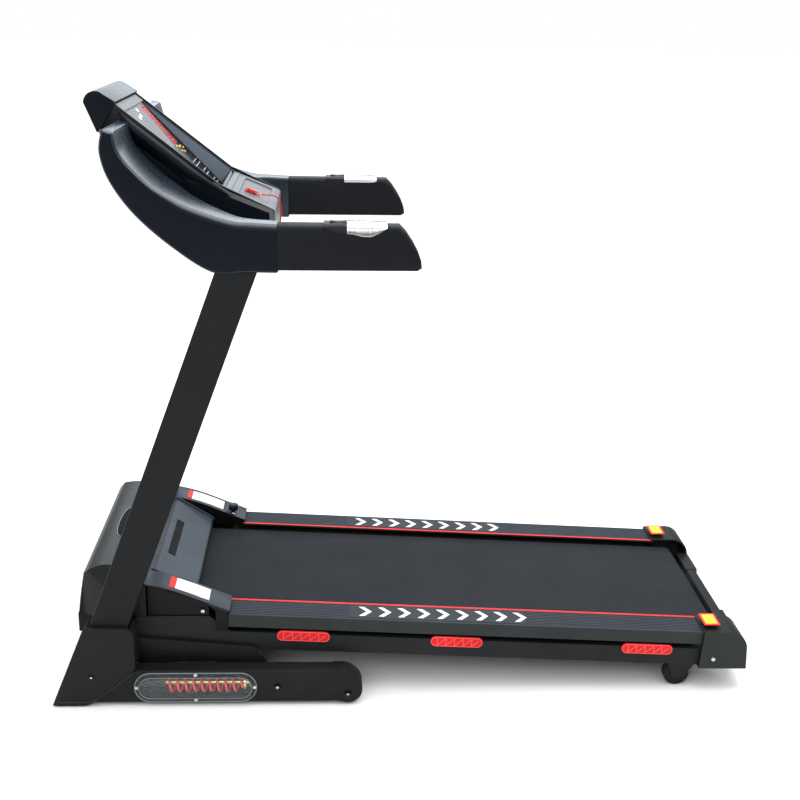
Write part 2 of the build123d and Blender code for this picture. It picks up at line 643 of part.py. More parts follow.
# ---- Motor bay ----------------------------------------------------------------------------------
PAN_FRONT, PAN_REAR, PAN_FLOOR, PAN_TOP = -752.0, -572.0, 131.0, 177.0
INLET_Y, SWITCH_Y = 150.0, 95.0
with BuildPart() as motor_pan:
    with BuildSketch(Plane.XY.offset(PAN_FLOOR)):
        with Locations(((PAN_FRONT + PAN_REAR) / 2, 0)):
            Rectangle(PAN_REAR - PAN_FRONT, 2 * HOOD_IN)
    extrude(amount=SHELL)
    with BuildSketch(Plane.YZ.offset(PAN_FRONT)):
        with Locations((0, (PAN_FLOOR + PAN_TOP) / 2)):
            Rectangle(2 * HOOD_IN, PAN_TOP - PAN_FLOOR)
        with Locations((INLET_Y, 156)):
            Rectangle(42.6, 26.6, mode=Mode.SUBTRACT)
        with Locations((SWITCH_Y, 156)):
            Rectangle(24, 30, mode=Mode.SUBTRACT)
    extrude(amount=SHELL)
    for side in SIDES.values():
        with BuildSketch(at_side(side, HOOD_IN)):
            with BuildLine():
                Polyline((PAN_FRONT, PAN_FLOOR), (PAN_REAR, PAN_FLOOR), (PAN_REAR, 150), (-690, 150),
                         (-690, PAN_TOP), (PAN_FRONT, PAN_TOP), (PAN_FRONT, PAN_FLOOR))
            make_face()
        extrude(amount=side * SHELL)
    # Room for the hinge shaft and for the strut lever on it
    with BuildSketch(Plane.XZ.offset(-HOOD_IN - 5)):
        with Locations((FOLD_X, FOLD_Z)):
            Circle(SHAFT_R + 1.5)
    extrude(amount=2 * HOOD_IN + 10, mode=Mode.SUBTRACT)
finish(motor_pan, "motor_pan")

MOTOR_X, MOTOR_Z, MOTOR_R, MOTOR_SHAFT_R = -640.0, 208.0, 50.0, 8.0
with BuildPart() as drive_motor:
    with BuildSketch(Plane.XZ.offset(-150)):
        with Locations((MOTOR_X, MOTOR_Z)):
            Circle(MOTOR_R)
    extrude(amount=210)
    with BuildSketch(Plane.XZ.offset(-130)):
        with Locations((MOTOR_X, 154)):
            Rectangle(90, 22)
    extrude(amount=170)
    with BuildSketch(Plane.XZ.offset(61)):
        with Locations((MOTOR_X, MOTOR_Z)):
            Circle(MOTOR_SHAFT_R + RUN_GAP)
    extrude(amount=-60, mode=Mode.SUBTRACT)
finish(drive_motor, "drive_motor")

with BuildPart() as motor_pulley:
    pulley_steps = ((5, PULLEY_OUT + 3, MOTOR_SHAFT_R), (188, 212, 44), (PULLEY_IN, PULLEY_OUT, PULLEY_R))
    for y_from, y_to, radius in pulley_steps:
        with BuildSketch(Plane.XZ.offset(y_from)):
            with Locations((MOTOR_X, MOTOR_Z)):
                Circle(radius)
        extrude(amount=y_to - y_from)
finish(motor_pulley, "motor_pulley")

with BuildPart() as drive_belt:
    for extra, mode in ((3.4, Mode.ADD), (0.4, Mode.SUBTRACT)):
        with BuildSketch(Plane.XZ.offset(PULLEY_IN + 2)):
            with Locations((MOTOR_X, MOTOR_Z)):
                Circle(PULLEY_R + extra)
            with Locations(ROLLER_AXIS):
                Circle(DRIVEN_R + extra)
            make_hull()
        extrude(amount=PULLEY_OUT - PULLEY_IN - 4, mode=mode)
finish(drive_belt, "drive_belt")

with BuildPart() as motor_controller:
    with BuildSketch(Plane.XY.offset(PAN_FLOOR + SHELL)):
        with Locations((-716, -30)):
            RectangleRounded(34, 170, 3)
    extrude(amount=80)
finish(motor_controller, "motor_controller")

HOOD_LOW, HOOD_SIDE_LOW, LIP_LOW = 178.0, 191.0, 187.0
HOOD_KNEE, HOOD_FOOT = (-584.0, 266.0), (-488.0, 207.0)


def hood_block(inset):
    """Solid under the hood's skin: side outline cut by plan outline, both inset by a wall."""
    with BuildPart() as block:
        with BuildSketch(Plane.XZ.offset(-HOOD_OUT)):
            with BuildLine():
                Spline((-750 + inset, HOOD_LOW), (-742 + inset, 236), (-734 + inset, 280 - inset))
                Line((-734 + inset, 280 - inset), (-722 + inset, 291 - inset))
                ThreePointArc((-722 + inset, 291 - inset), (-684, 299 - inset), (-640, 290 - inset))
                Polyline((-640, 290 - inset), (HOOD_KNEE[0], HOOD_KNEE[1] - 1.2 * inset),
                         (HOOD_FOOT[0] - inset, HOOD_FOOT[1] - 0.6 * inset))
                Polyline((HOOD_FOOT[0] - inset, HOOD_FOOT[1] - 0.6 * inset), (HOOD_FOOT[0] - inset, LIP_LOW - inset),
                         (-500, LIP_LOW - inset), (-500, HOOD_SIDE_LOW - inset), (-688, HOOD_SIDE_LOW - inset),
                         (-688, HOOD_LOW - inset), (-750 + inset, HOOD_LOW - inset))
                if inset:
                    Line((-750 + inset, HOOD_LOW - inset), (-750 + inset, HOOD_LOW))
            make_face()
        extrude(amount=2 * HOOD_OUT)
        with BuildSketch(Plane.XY.offset(100)):
            with BuildLine():
                Polyline((-760, inset - HOOD_IN), (-738, inset - HOOD_IN), (-684, inset - HOOD_OUT),
                         (-592 - inset, inset - HOOD_OUT), (-592 - inset, inset - 213), (-480, inset - 213),
                         (-480, 213 - inset), (-592 - inset, 213 - inset), (-592 - inset, HOOD_OUT - inset),
                         (-684, HOOD_OUT - inset), (-738, HOOD_IN - inset), (-760, HOOD_IN - inset),
                         (-760, inset - HOOD_IN))
            make_face()
        extrude(amount=250, mode=Mode.INTERSECT)
        # Shoulders that fall towards the sides
        with BuildSketch(Plane.YZ.offset(-760)):
            with BuildLine():
                Polyline((inset - HOOD_OUT, 90), (inset - HOOD_OUT, 268 - inset), (-225, 317 - inset),
                         (225, 317 - inset), (HOOD_OUT - inset, 268 - inset), (HOOD_OUT - inset, 90),
                         (inset - HOOD_OUT, 90))
            make_face()
        extrude(amount=300, mode=Mode.INTERSECT)
    return block.part


hood_outer, hood_cavity = hood_block(0), hood_block(SHELL)
with BuildPart() as motor_hood:
    add(hood_outer)
    add(hood_cavity, mode=Mode.SUBTRACT)
    # Passage behind each wing, for the drive belt on the left
    with BuildSketch(Plane.YZ.offset(-600)):
        with Locations((-251, 214), (251, 214)):
            Rectangle(64, 46)
    extrude(amount=12, mode=Mode.SUBTRACT)
    # Shallow tray in the slope that faces the user
    slope = atan2(HOOD_KNEE[1] - HOOD_FOOT[1], HOOD_FOOT[0] - HOOD_KNEE[0])
    slope_plane = Plane(
        origin=((HOOD_KNEE[0] + HOOD_FOOT[0]) / 2 - 22, 0, (HOOD_KNEE[1] + HOOD_FOOT[1]) / 2 + 22 * tan(slope)),
        x_dir=(cos(slope), 0, -sin(slope)),
        z_dir=(sin(slope), 0, cos(slope)),
    )
    with BuildSketch(slope_plane.offset(-1.5)):
        RectangleRounded(20, 196, 3)
    extrude(amount=4, mode=Mode.SUBTRACT)
finish(motor_hood, "motor_hood")

WING_TOP = [(-592, 269), (-520, 250), (-462, 226.5), (-405, 203)]
with BuildPart() as wings:
    for side in SIDES.values():
        # Top skin that bridges from the hood down to the rail
        with BuildSketch(at_side(side, RAIL_OUT)):
            with BuildLine():
                Spline(*WING_TOP)
                Line(WING_TOP[-1], (-405, 199))
                Spline((-405, 199), (-462, 222.5), (-520, 246), (-592, 265))
                Line((-592, 265), WING_TOP[0])
            make_face()
        extrude(amount=side * (RAIL_OUT - 215))
        # Side panel under the skin and the leg that closes it against the rail
        with BuildSketch(at_side(side, RAIL_OUT - 3)):
            with BuildLine():
                Polyline((-588, 192), (-452, 192), (-452, 220), (-588, 266), (-588, 192))
            make_face()
        extrude(amount=side * SHELL)
        with BuildSketch(at_side(side, RAIL_OUT + 2)):
            with BuildLine():
                Polyline((-436, 158), (-409.5, 156), (-409.5, 203), (-452, 221), (-436, 204), (-436, 158))
            make_face()
        extrude(amount=-side * 2)
        # Inner skirt down to the belt
        with BuildSketch(at_side(side, 218)):
            with BuildLine():
                Polyline((-588, 265), (-520, 246), (-462, 223.5), (-410, 200), (-410, 188), (-588, 196),
                         (-588, 265))
            make_face()
        extrude(amount=side * 3)
        if side > 0:
            with BuildSketch(Plane.XY.offset(200)):
                with Locations((-436, 233)):
                    Circle(5.8)
            extrude(amount=30, mode=Mode.SUBTRACT)
finish(wings, "wings")

KNOB_X, KNOB_Y, KNOB_Z = -436.0, 233.0, 220.5
with BuildPart() as latch_knob:
    with BuildSketch(Plane.XY.offset(KNOB_Z)):
        with Locations((KNOB_X, KNOB_Y)):
            Circle(9)
    extrude(amount=5)
    with BuildSketch(Plane.XY.offset(KNOB_Z + 5)):
        with Locations((KNOB_X, KNOB_Y)):
            Circle(13)
    extrude(amount=13)
    fillet(latch_knob.edges().filter_by(GeomType.CIRCLE).sort_by(Axis.Z)[-1], 4)
    with BuildSketch(Plane.XY.offset(KNOB_Z - 20)):
        with Locations((KNOB_X, KNOB_Y)):
            Circle(5)
    extrude(amount=22)
finish(latch_knob, "latch_knob")

with BuildPart() as power_inlet:
    with BuildSketch(Plane.YZ.offset(PAN_FRONT - 3)):
        with Locations((INLET_Y, 156)):
            RectangleRounded(48, 32, 4)
    extrude(amount=3)
    with BuildSketch(Plane.YZ.offset(PAN_FRONT)):
        with Locations((INLET_Y, 156)):
            Rectangle(42, 26)
    extrude(amount=20)
    with BuildSketch(Plane.YZ.offset(PAN_FRONT - 3)):
        with Locations((INLET_Y, 156)):
            RectangleRounded(28, 18, 4)
    extrude(amount=17, mode=Mode.SUBTRACT)
finish(power_inlet, "power_inlet")

with BuildPart() as power_switch:
    with BuildSketch(Plane.XZ.offset(-SWITCH_Y - 9)):
        with BuildLine():
            Polyline((PAN_FRONT + 10, 144), (PAN_FRONT - 1, 144), (PAN_FRONT - 3, 156),
                     (PAN_FRONT - 1, 168), (PAN_FRONT + 10, 168), (PAN_FRONT + 10, 144))
        make_face()
    extrude(amount=18)
finish(power_switch, "power_switch")

# ---- Fold strut ---------------------------------------------------------------------------------
STRUT_REACH = STRUT_TO[0] - STRUT_FROM[0]
with BuildPart() as strut_cylinder:
    with BuildSketch(Plane.XZ.offset(-STRUT_Y - 10)):
        with Locations(STRUT_FROM):
            Circle(10)
            Circle(5 + RUN_GAP, mode=Mode.SUBTRACT)
    extrude(amount=20)
    with BuildSketch(Plane.YZ.offset(STRUT_FROM[0] + 9)):
        with Locations((STRUT_Y, STRUT_FROM[1])):
            Circle(11)
            Circle(5 + RUN_GAP, mode=Mode.SUBTRACT)
    extrude(amount=190)
finish(strut_cylinder, "strut_cylinder")

with BuildPart() as strut_rod:
    with BuildSketch(Plane.YZ.offset(STRUT_FROM[0] + 60)):
        with Locations((STRUT_Y, STRUT_FROM[1])):
            Circle(5)
    extrude(amount=STRUT_REACH - 66)
    with BuildSketch(Plane.XZ.offset(-STRUT_Y - 8)):
        with Locations(STRUT_TO):
            Circle(10)
    extrude(amount=16)
finish(strut_rod, "strut_rod")

# ---- Arms and handles ---------------------------------------------------------------------------
ARM_LOWER = [(-627, 1273), (-634, 1230), (-617, 1174), (-572, 1110), (-502, 1047), (-422, 996)]
ARM_UPPER = [(-290, 1094), (-385, 1100), (-460, 1124), (-544, 1173), (-590, 1222), (-606, 1268)]
ARM_TIP = 1273.0
ARM_PLAN = [(-545, 150), (-500, 182), (-442, 232), (-344, 295), (-290, 300)]


def arm_block(side, inset):
    """Crescent outline swept across the arm's width and cut by its inner edge in plan."""
    lower, upper = moved_in(ARM_LOWER, inset), moved_in(ARM_UPPER, inset)
    seam, seam_low, seam_top = HANDLE_SEAM - inset, ARM_LOWER[-1][1] + inset, ARM_UPPER[0][1] - inset
    lower[-1], upper[0] = (lower[-1][0], seam_low), (seam, seam_top)
    with BuildPart() as block:
        with BuildSketch(at_side(side, ARM_OUTER - inset)):
            with BuildLine():
                Spline(*lower)
                Polyline(lower[-1], (seam, seam_low), upper[0])
                Spline(*upper)
                Line(upper[-1], lower[0])
            make_face()
        extrude(amount=side * (ARM_OUTER - inset - 145))
        with BuildSketch(Plane.XY.offset(950)):
            with BuildLine():
                Spline(*[(x, side * (y + inset)) for x, y in ARM_PLAN], tangents=((1, 0), (1, 0)))
                Polyline((-290, side * (300 + inset)), (-280, side * 400), (-660, side * 400),
                         (-660, side * (150 + inset)), (-545, side * (150 + inset)))
            make_face()
        extrude(amount=ARM_TIP - 2 * inset - 950, mode=Mode.INTERSECT)
    return block.part


for word, side in SIDES.items():
    arm_outer, arm_cavity = arm_block(side, 0), arm_block(side, 4)
    with BuildPart() as arm:
        add(arm_outer)
        add(arm_cavity, mode=Mode.SUBTRACT)
    finish(arm, f"arm_{word}")

with BuildPart() as handles:
    for side in SIDES.values():
        with BuildSketch(at_side(side, ARM_OUTER)):
            with BuildLine():
                Polyline((-45, 1096), (HANDLE_SEAM, 1094), (HANDLE_SEAM, 1000), (-6, 1003))
                ThreePointArc((-6, 1003), (3, 1006), (3, 1014))
                ThreePointArc((3, 1014), (-17, 1056), (-45, 1096))
            make_face()
        extrude(amount=side * (ARM_OUTER - HANDLE_IN))
        with BuildSketch(at_side(side, ARM_OUTER - 4)):
            with BuildLine():
                Polyline((-49, 1089), (HANDLE_SEAM, 1089), (HANDLE_SEAM, 1004), (-10, 1007), (-49, 1089))
            make_face()
        extrude(amount=side * (ARM_OUTER - HANDLE_IN - 8), mode=Mode.SUBTRACT)
        # Seat of the pulse plate and of the rocker key
        with BuildSketch(Plane.XY.offset(1080)):
            with Locations((-168, side * 328.5)):
                Rectangle(44, 20)
        extrude(amount=30, mode=Mode.SUBTRACT)
finish(handles, "handles")

with BuildPart() as pulse_plates:
    for side in SIDES.values():
        with BuildSketch(Plane.XY.offset(1096.3)):
            with Locations((-134, side * 328.5)):
                SlotOverall(127, 44)
            with Locations((-168, side * 328.5)):
                Rectangle(36, 18, mode=Mode.SUBTRACT)
        extrude(amount=3)
finish(pulse_plates, "pulse_plates")

for name, side in (("speed_rocker", 1), ("incline_rocker", -1)):
    with BuildPart() as rocker:
        with BuildSketch(at_side(side, 328.5 + 8)):
            with BuildLine():
                Polyline((-185, 1092), (-151, 1092), (-151, 1101), (-168, 1099.6), (-185, 1101), (-185, 1092))
            make_face()
        extrude(amount=side * 16)
    finish(rocker, name)

# ---- Console ------------------------------------------------------------------------------------
SHELL_LOWER = [(-668, 1246), (-640, 1178), (-590, 1112), (-520, 1058), (-440, 1018), (-316, 1002)]
KEY_Y, KEY_Z = -115.0, 1026.0


def console_block(inset):
    """Solid inside the console's side outline, drawn smaller by a wall thickness."""
    lower = moved_in(SHELL_LOWER, inset)
    lower[-1] = (lower[-1][0] - inset, lower[-1][1])
    rise = 1.2 * inset
    with BuildPart() as block:
        with BuildSketch(at_side(1, CONSOLE_HALF - 0.3 - inset)):
            with BuildLine():
                Spline(*lower)
                Polyline(lower[-1], (PANEL_END[0] - inset, PANEL_END[1] - rise),
                         (PANEL_KNEE[0], PANEL_KNEE[1] - rise), (PANEL_TOP[0], PANEL_TOP[1] - rise), lower[0])
            make_face()
        extrude(amount=2 * (CONSOLE_HALF - 0.3 - inset))
    return block.part


PANEL_TILT = atan2(PANEL_TOP[1] - PANEL_KNEE[1], PANEL_KNEE[0] - PANEL_TOP[0])
FACE_FRONT, FACE_LENGTH = (-626.0, 1293.0), 272.0
TRAY_FRONT, TRAY_REAR = (-398.0, 1126.0), (-308.0, 1090.0)
TRAY_TILT = atan2(TRAY_FRONT[1] - TRAY_REAR[1], TRAY_REAR[0] - TRAY_FRONT[0])


def console_plane(point, tilt):
    """Plane on the sloping console face through a point, x down the slope, y across."""
    return Plane(
        origin=(point[0], 0, point[1]),
        x_dir=(cos(tilt), 0, -sin(tilt)),
        z_dir=(sin(tilt), 0, cos(tilt)),
    )


def console_side(reach):
    """Plane at Y = reach, drawn along the console face: x down the slope, y out of the face."""
    return Plane(
        origin=(FACE_FRONT[0], reach, FACE_FRONT[1]),
        x_dir=(cos(PANEL_TILT), 0, -sin(PANEL_TILT)),
        z_dir=(0, -1, 0),
    )


FACE_HALF = CONSOLE_HALF - 6.3
FACE_SINK = atan2(40, FACE_LENGTH - 4)
FACE_BACK = (
    FACE_FRONT[0] + 2 * cos(PANEL_TILT) - 6 * sin(PANEL_TILT),
    FACE_FRONT[1] - 2 * sin(PANEL_TILT) - 6 * cos(PANEL_TILT),
)
console_outer, console_cavity = console_block(0), console_block(4)
with BuildPart() as console_shell:
    add(console_outer)
    add(console_cavity, mode=Mode.SUBTRACT)
    # Open the top for the face panel and the tray, and the end for the tray's end face
    with BuildSketch(at_side(1, CONSOLE_HALF - 6)):
        with BuildLine():
            Polyline((-640, 1280), (-428, 1124), (-392, 1108), (-322, 1084), (-322, 1008), (-290, 1008),
                     (-290, 1130), (-400, 1190), (-640, 1360), (-640, 1280))
        make_face()
    extrude(amount=2 * CONSOLE_HALF - 12, mode=Mode.SUBTRACT)
finish(console_shell, "console_shell")

with BuildPart() as console_face:
    # Sunk face with low walls round it, shallow at the top and deep at the keys
    with BuildSketch(console_side(FACE_HALF)):
        with BuildLine():
            Polyline((2, 0), (FACE_LENGTH - 2, 0), (FACE_LENGTH - 2, -46), (2, -6), (2, 0))
        make_face()
    extrude(amount=2 * FACE_HALF)
    with BuildSketch(console_side(FACE_HALF - 4.7)):
        with BuildLine():
            Polyline((8, 1), (FACE_LENGTH - 10, 1), (FACE_LENGTH - 10, -40), (8, -2), (8, 1))
        make_face()
    extrude(amount=2 * (FACE_HALF - 4.7), mode=Mode.SUBTRACT)
finish(console_face, "console_face")

with BuildPart() as control_board:
    with BuildSketch(console_plane(FACE_BACK, PANEL_TILT + FACE_SINK).offset(-12)):
        with Locations((FACE_LENGTH / 2, 0)):
            Rectangle(FACE_LENGTH - 70, 220)
    extrude(amount=1.6)
    # Standoffs that hang the board from the face panel
    with BuildSketch(console_plane(FACE_BACK, PANEL_TILT + FACE_SINK).offset(-10.4)):
        with Locations((FACE_LENGTH / 2, 0)):
            with GridLocations(70, 190, 3, 2):
                Circle(4)
    extrude(amount=10.4)
finish(control_board, "control_board")

with BuildPart() as console_tray:
    with BuildSketch(at_side(1, CONSOLE_HALF - 6.4)):
        with BuildLine():
            Polyline(TRAY_FRONT, TRAY_REAR, (-303, 1086), (-305, 1009), (-321, 1009), (-321, 1082),
                     (-330, 1085), (-396, 1110), TRAY_FRONT)
        make_face()
    extrude(amount=2 * CONSOLE_HALF - 12.8)
    # Shallow dish for small things
    with BuildSketch(console_plane(TRAY_FRONT, TRAY_TILT).offset(-4)):
        with Locations((50, 0)):
            RectangleRounded(66, 236, 10)
    extrude(amount=8, mode=Mode.SUBTRACT)
    # Socket of the safety key in the end face
    with BuildSketch(Plane.YZ.offset(-322)):
        with Locations((KEY_Y, KEY_Z)):
            Rectangle(14.6, 20.6)
    extrude(amount=24, mode=Mode.SUBTRACT)
finish(console_tray, "console_tray")

with BuildPart() as console_hood:
    with BuildSketch(at_side(1, CONSOLE_HALF + 4)):
        with BuildLine():
            Polyline((-672, 1247), (-697, 1307))
            ThreePointArc((-697, 1307), (-686, 1326), (-664, 1329))
            Polyline((-664, 1329), (-632, 1309.5), (-633, 1305.5), (-668, 1246.5), (-672, 1247))
        make_face()
    extrude(amount=2 * CONSOLE_HALF + 8)
    with BuildSketch(at_side(1, CONSOLE_HALF)):
        with BuildLine():
            Polyline((-668, 1235), (-692, 1306), (-683, 1321), (-664, 1325), (-630, 1305.5), (-600, 1200),
                     (-668, 1235))
        make_face()
    extrude(amount=2 * CONSOLE_HALF, mode=Mode.SUBTRACT)
finish(console_hood, "console_hood")

# ---- Safety key, clip and cord ------------------------------------------------------------------
with BuildPart() as safety_key:
    with BuildSketch(Plane.YZ.offset(-320)):
        with Locations((KEY_Y, KEY_Z)):
            Rectangle(14, 20)
    extrude(amount=18)
    with BuildSketch(Plane.YZ.offset(-302)):
        with Locations((KEY_Y, KEY_Z)):
            RectangleRounded(22, 30, 5)
    extrude(amount=8)
finish(safety_key, "safety_key")

CLIP_LENGTH, CLIP_WIDTH, CLIP_THICK = 34.0, 15.0, 9.0
CLIP_DOWN_TRAY, CLIP_Y = 43.0, -30.0
with BuildPart() as safety_clip:
    with BuildSketch(console_plane(TRAY_FRONT, TRAY_TILT).offset(-3.7)):
        with Locations((CLIP_DOWN_TRAY, CLIP_Y)):
            RectangleRounded(CLIP_LENGTH, CLIP_WIDTH, 5)
    extrude(amount=CLIP_THICK)
finish(safety_clip, "safety_clip")

# From the end of the clip, over the end of the tray and up into the underside of the key
CORD_R = 1.5
CORD_ROUTE = [
    (-341.4, -30, 1104.4), (-327, -31, 1102.4), (-311, -32, 1103.5), (-298.5, -32, 1094), (-294.5, -31, 1074),
    (-296, -31, 1050), (-299, -33, 1024), (-300.5, -37, 998), (-300, -46, 974), (-299, -62, 957),
    (-298, -82, 953), (-297.5, -101, 961), (-298.2, -112, 978), (-298, -115, 995), (-298, KEY_Y, KEY_Z - 15),
]


def corner_radii(route):
    """As large a radius at each corner as its two runs allow."""
    points = [Vector(*point) for point in route]
    radii = []
    for before, corner, after in zip(points, points[1:], points[2:]):
        turn = radians((corner - before).get_angle(after - corner))
        shorter = min((corner - before).length, (after - corner).length)
        radii.append(0.45 * shorter / tan(turn / 2))
    return radii


CORD_RADII = corner_radii(CORD_ROUTE)
print("cord radii, mm:", [round(radius, 1) for radius in CORD_RADII])
with BuildPart() as safety_cord:
    with BuildLine() as cord_path:
        FilletPolyline(*CORD_ROUTE, radius=CORD_RADII)
    cord_wire = cord_path.wires()[0]
    with BuildSketch(Plane(origin=cord_wire @ 0, z_dir=cord_wire % 0)):
        Circle(CORD_R)
    sweep(path=cord_wire)
print("cord length, mm:", round(cord_wire.length, 1))
print("cord volume over section times length:",
      round(safety_cord.part.volume / (pi * CORD_R**2 * cord_wire.length), 4))
finish(safety_cord, "safety_cord")
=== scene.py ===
"""Looks of the folding treadmill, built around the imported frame. Metres, same axes as the frame."""
import json
import math

import bmesh
import bpy
from mathutils import Matrix, Vector

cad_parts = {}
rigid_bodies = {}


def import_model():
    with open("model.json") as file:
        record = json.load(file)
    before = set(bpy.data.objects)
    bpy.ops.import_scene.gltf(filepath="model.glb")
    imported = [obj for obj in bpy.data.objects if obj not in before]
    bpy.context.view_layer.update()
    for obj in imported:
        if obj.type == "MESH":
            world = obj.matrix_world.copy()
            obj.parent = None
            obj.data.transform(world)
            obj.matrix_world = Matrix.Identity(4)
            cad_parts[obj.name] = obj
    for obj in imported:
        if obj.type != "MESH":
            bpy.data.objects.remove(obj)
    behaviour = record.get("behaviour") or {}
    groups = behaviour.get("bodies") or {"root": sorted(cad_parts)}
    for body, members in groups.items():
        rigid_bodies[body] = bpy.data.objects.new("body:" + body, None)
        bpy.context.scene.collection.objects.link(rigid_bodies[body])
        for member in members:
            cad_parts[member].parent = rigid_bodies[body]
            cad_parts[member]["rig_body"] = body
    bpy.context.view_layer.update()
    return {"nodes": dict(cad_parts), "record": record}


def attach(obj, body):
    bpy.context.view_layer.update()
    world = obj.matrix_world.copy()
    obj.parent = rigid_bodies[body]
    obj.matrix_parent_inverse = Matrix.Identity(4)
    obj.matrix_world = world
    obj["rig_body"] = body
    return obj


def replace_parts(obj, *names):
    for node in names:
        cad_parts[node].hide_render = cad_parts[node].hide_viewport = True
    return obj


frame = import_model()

NODES = frame["nodes"]

# Slope of the deck and height of its rail tops where X = 0
DECK_SLOPE = math.atan(0.0452)
RAIL_TOP = 0.1756


def add_object(name, data):
    """New object in the scene's own collection."""
    made = bpy.data.objects.new(name, data)
    bpy.context.scene.collection.objects.link(made)
    return made


# ---- Camera, lights and floor ----
CAMERA_PLACE = (-0.181, -2.764, 1.532)
# Turn to the right of the y axis, downwards, and about the line of sight, in degrees
CAMERA_TURNS = (3.45, 18.37, 1.54)
LENS_MM, SENSOR_MM = 54.72, 36.0
FLOOR_HALF, FLOOR_DROP, FLOOR_GREY = 40, 0.0005, 0.86
# Strength of the sky at the horizon and overhead
SKY_LOW, SKY_HIGH = 0.25, 1.85


def make_camera():
    """Camera a little higher than the console, looking down at the near side."""
    yaw, pitch, roll = (math.radians(turn) for turn in CAMERA_TURNS)
    forward = Vector((math.sin(yaw) * math.cos(pitch), math.cos(yaw) * math.cos(pitch), -math.sin(pitch)))
    right = forward.cross(Vector((0, 0, 1))).normalized()
    up = right.cross(forward)
    right, up = right * math.cos(roll) + up * math.sin(roll), up * math.cos(roll) - right * math.sin(roll)
    data = bpy.data.cameras.new("camera")
    data.lens, data.sensor_width = LENS_MM, SENSOR_MM
    data.clip_end = 50
    camera = add_object("camera", data)
    turn = Matrix((right, up, -forward)).transposed().to_4x4()
    camera.matrix_world = Matrix.Translation(CAMERA_PLACE) @ turn
    bpy.context.scene.camera = camera


def area_light(name, place, target, size, power, colour=(1, 1, 1)):
    """Rectangular lamp at a place, aimed at a target."""
    data = bpy.data.lights.new(name, "AREA")
    data.shape, data.size, data.size_y = "RECTANGLE", size[0], size[1]
    data.energy, data.color = power, colour
    light = add_object(name, data)
    light.location = place
    light.rotation_euler = (Vector(target) - Vector(place)).to_track_quat("-Z", "Y").to_euler()


def soft_sky():
    """Even studio sky: bright overhead, dim towards the horizon, and plain white as the backdrop."""
    world = bpy.data.worlds.new("world")
    world.use_nodes = True
    nodes, link = world.node_tree.nodes, world.node_tree.links.new
    split = nodes.new("ShaderNodeSeparateXYZ")
    link(nodes.new("ShaderNodeTexCoord").outputs["Generated"], split.inputs["Vector"])
    level = nodes.new("ShaderNodeMapRange")
    level.interpolation_type = "SMOOTHSTEP"
    level.inputs["To Min"].default_value = SKY_LOW
    level.inputs["To Max"].default_value = SKY_HIGH
    link(split.outputs["Z"], level.inputs["Value"])
    mix = nodes.new("ShaderNodeMix")
    mix.data_type = "FLOAT"
    link(nodes.new("ShaderNodeLightPath").outputs["Is Camera Ray"], mix.inputs["Factor"])
    link(level.outputs["Result"], mix.inputs["A"])
    mix.inputs["B"].default_value = 1.0
    link(mix.outputs["Result"], nodes["Background"].inputs["Strength"])
    nodes["Background"].inputs["Color"].default_value = (1, 1, 1, 1)
    return world


def make_studio():
    """Pale floor, sky and four large soft lamps."""
    bm = bmesh.new()
    bmesh.ops.create_grid(bm, x_segments=2, y_segments=2, size=FLOOR_HALF)
    mesh = bpy.data.meshes.new("floor")
    bm.to_mesh(mesh)
    bm.free()
    floor = add_object("floor", mesh)
    floor.location.z = -FLOOR_DROP
    paint = Shader("floor", 0.9)
    paint.bsdf.inputs["Base Color"].default_value = (FLOOR_GREY, FLOOR_GREY, FLOOR_GREY, 1)
    mesh.materials.append(paint.mat)
    bpy.context.scene.world = soft_sky()
    area_light("top", (0.4, 0.4, 3.4), (-0.3, 0, 0.6), (3.0, 2.4), 85, (0.95, 0.98, 1.0))
    area_light("back", (0.1, 3.9, 2.3), (-0.2, 0, 0.7), (4.6, 1.5), 50, (0.78, 0.89, 1.0))
    area_light("key", (-1.2, -3.4, 2.4), (0, 0, 0.4), (2.2, 1.4), 40)
    area_light("front", (-3.2, -0.4, 1.8), (-0.6, 0, 0.8), (1.2, 1.8), 12)
    bpy.context.scene.view_settings.view_transform = "Standard"


# ---- Materials ----
COAT_ROUGH = 0.1


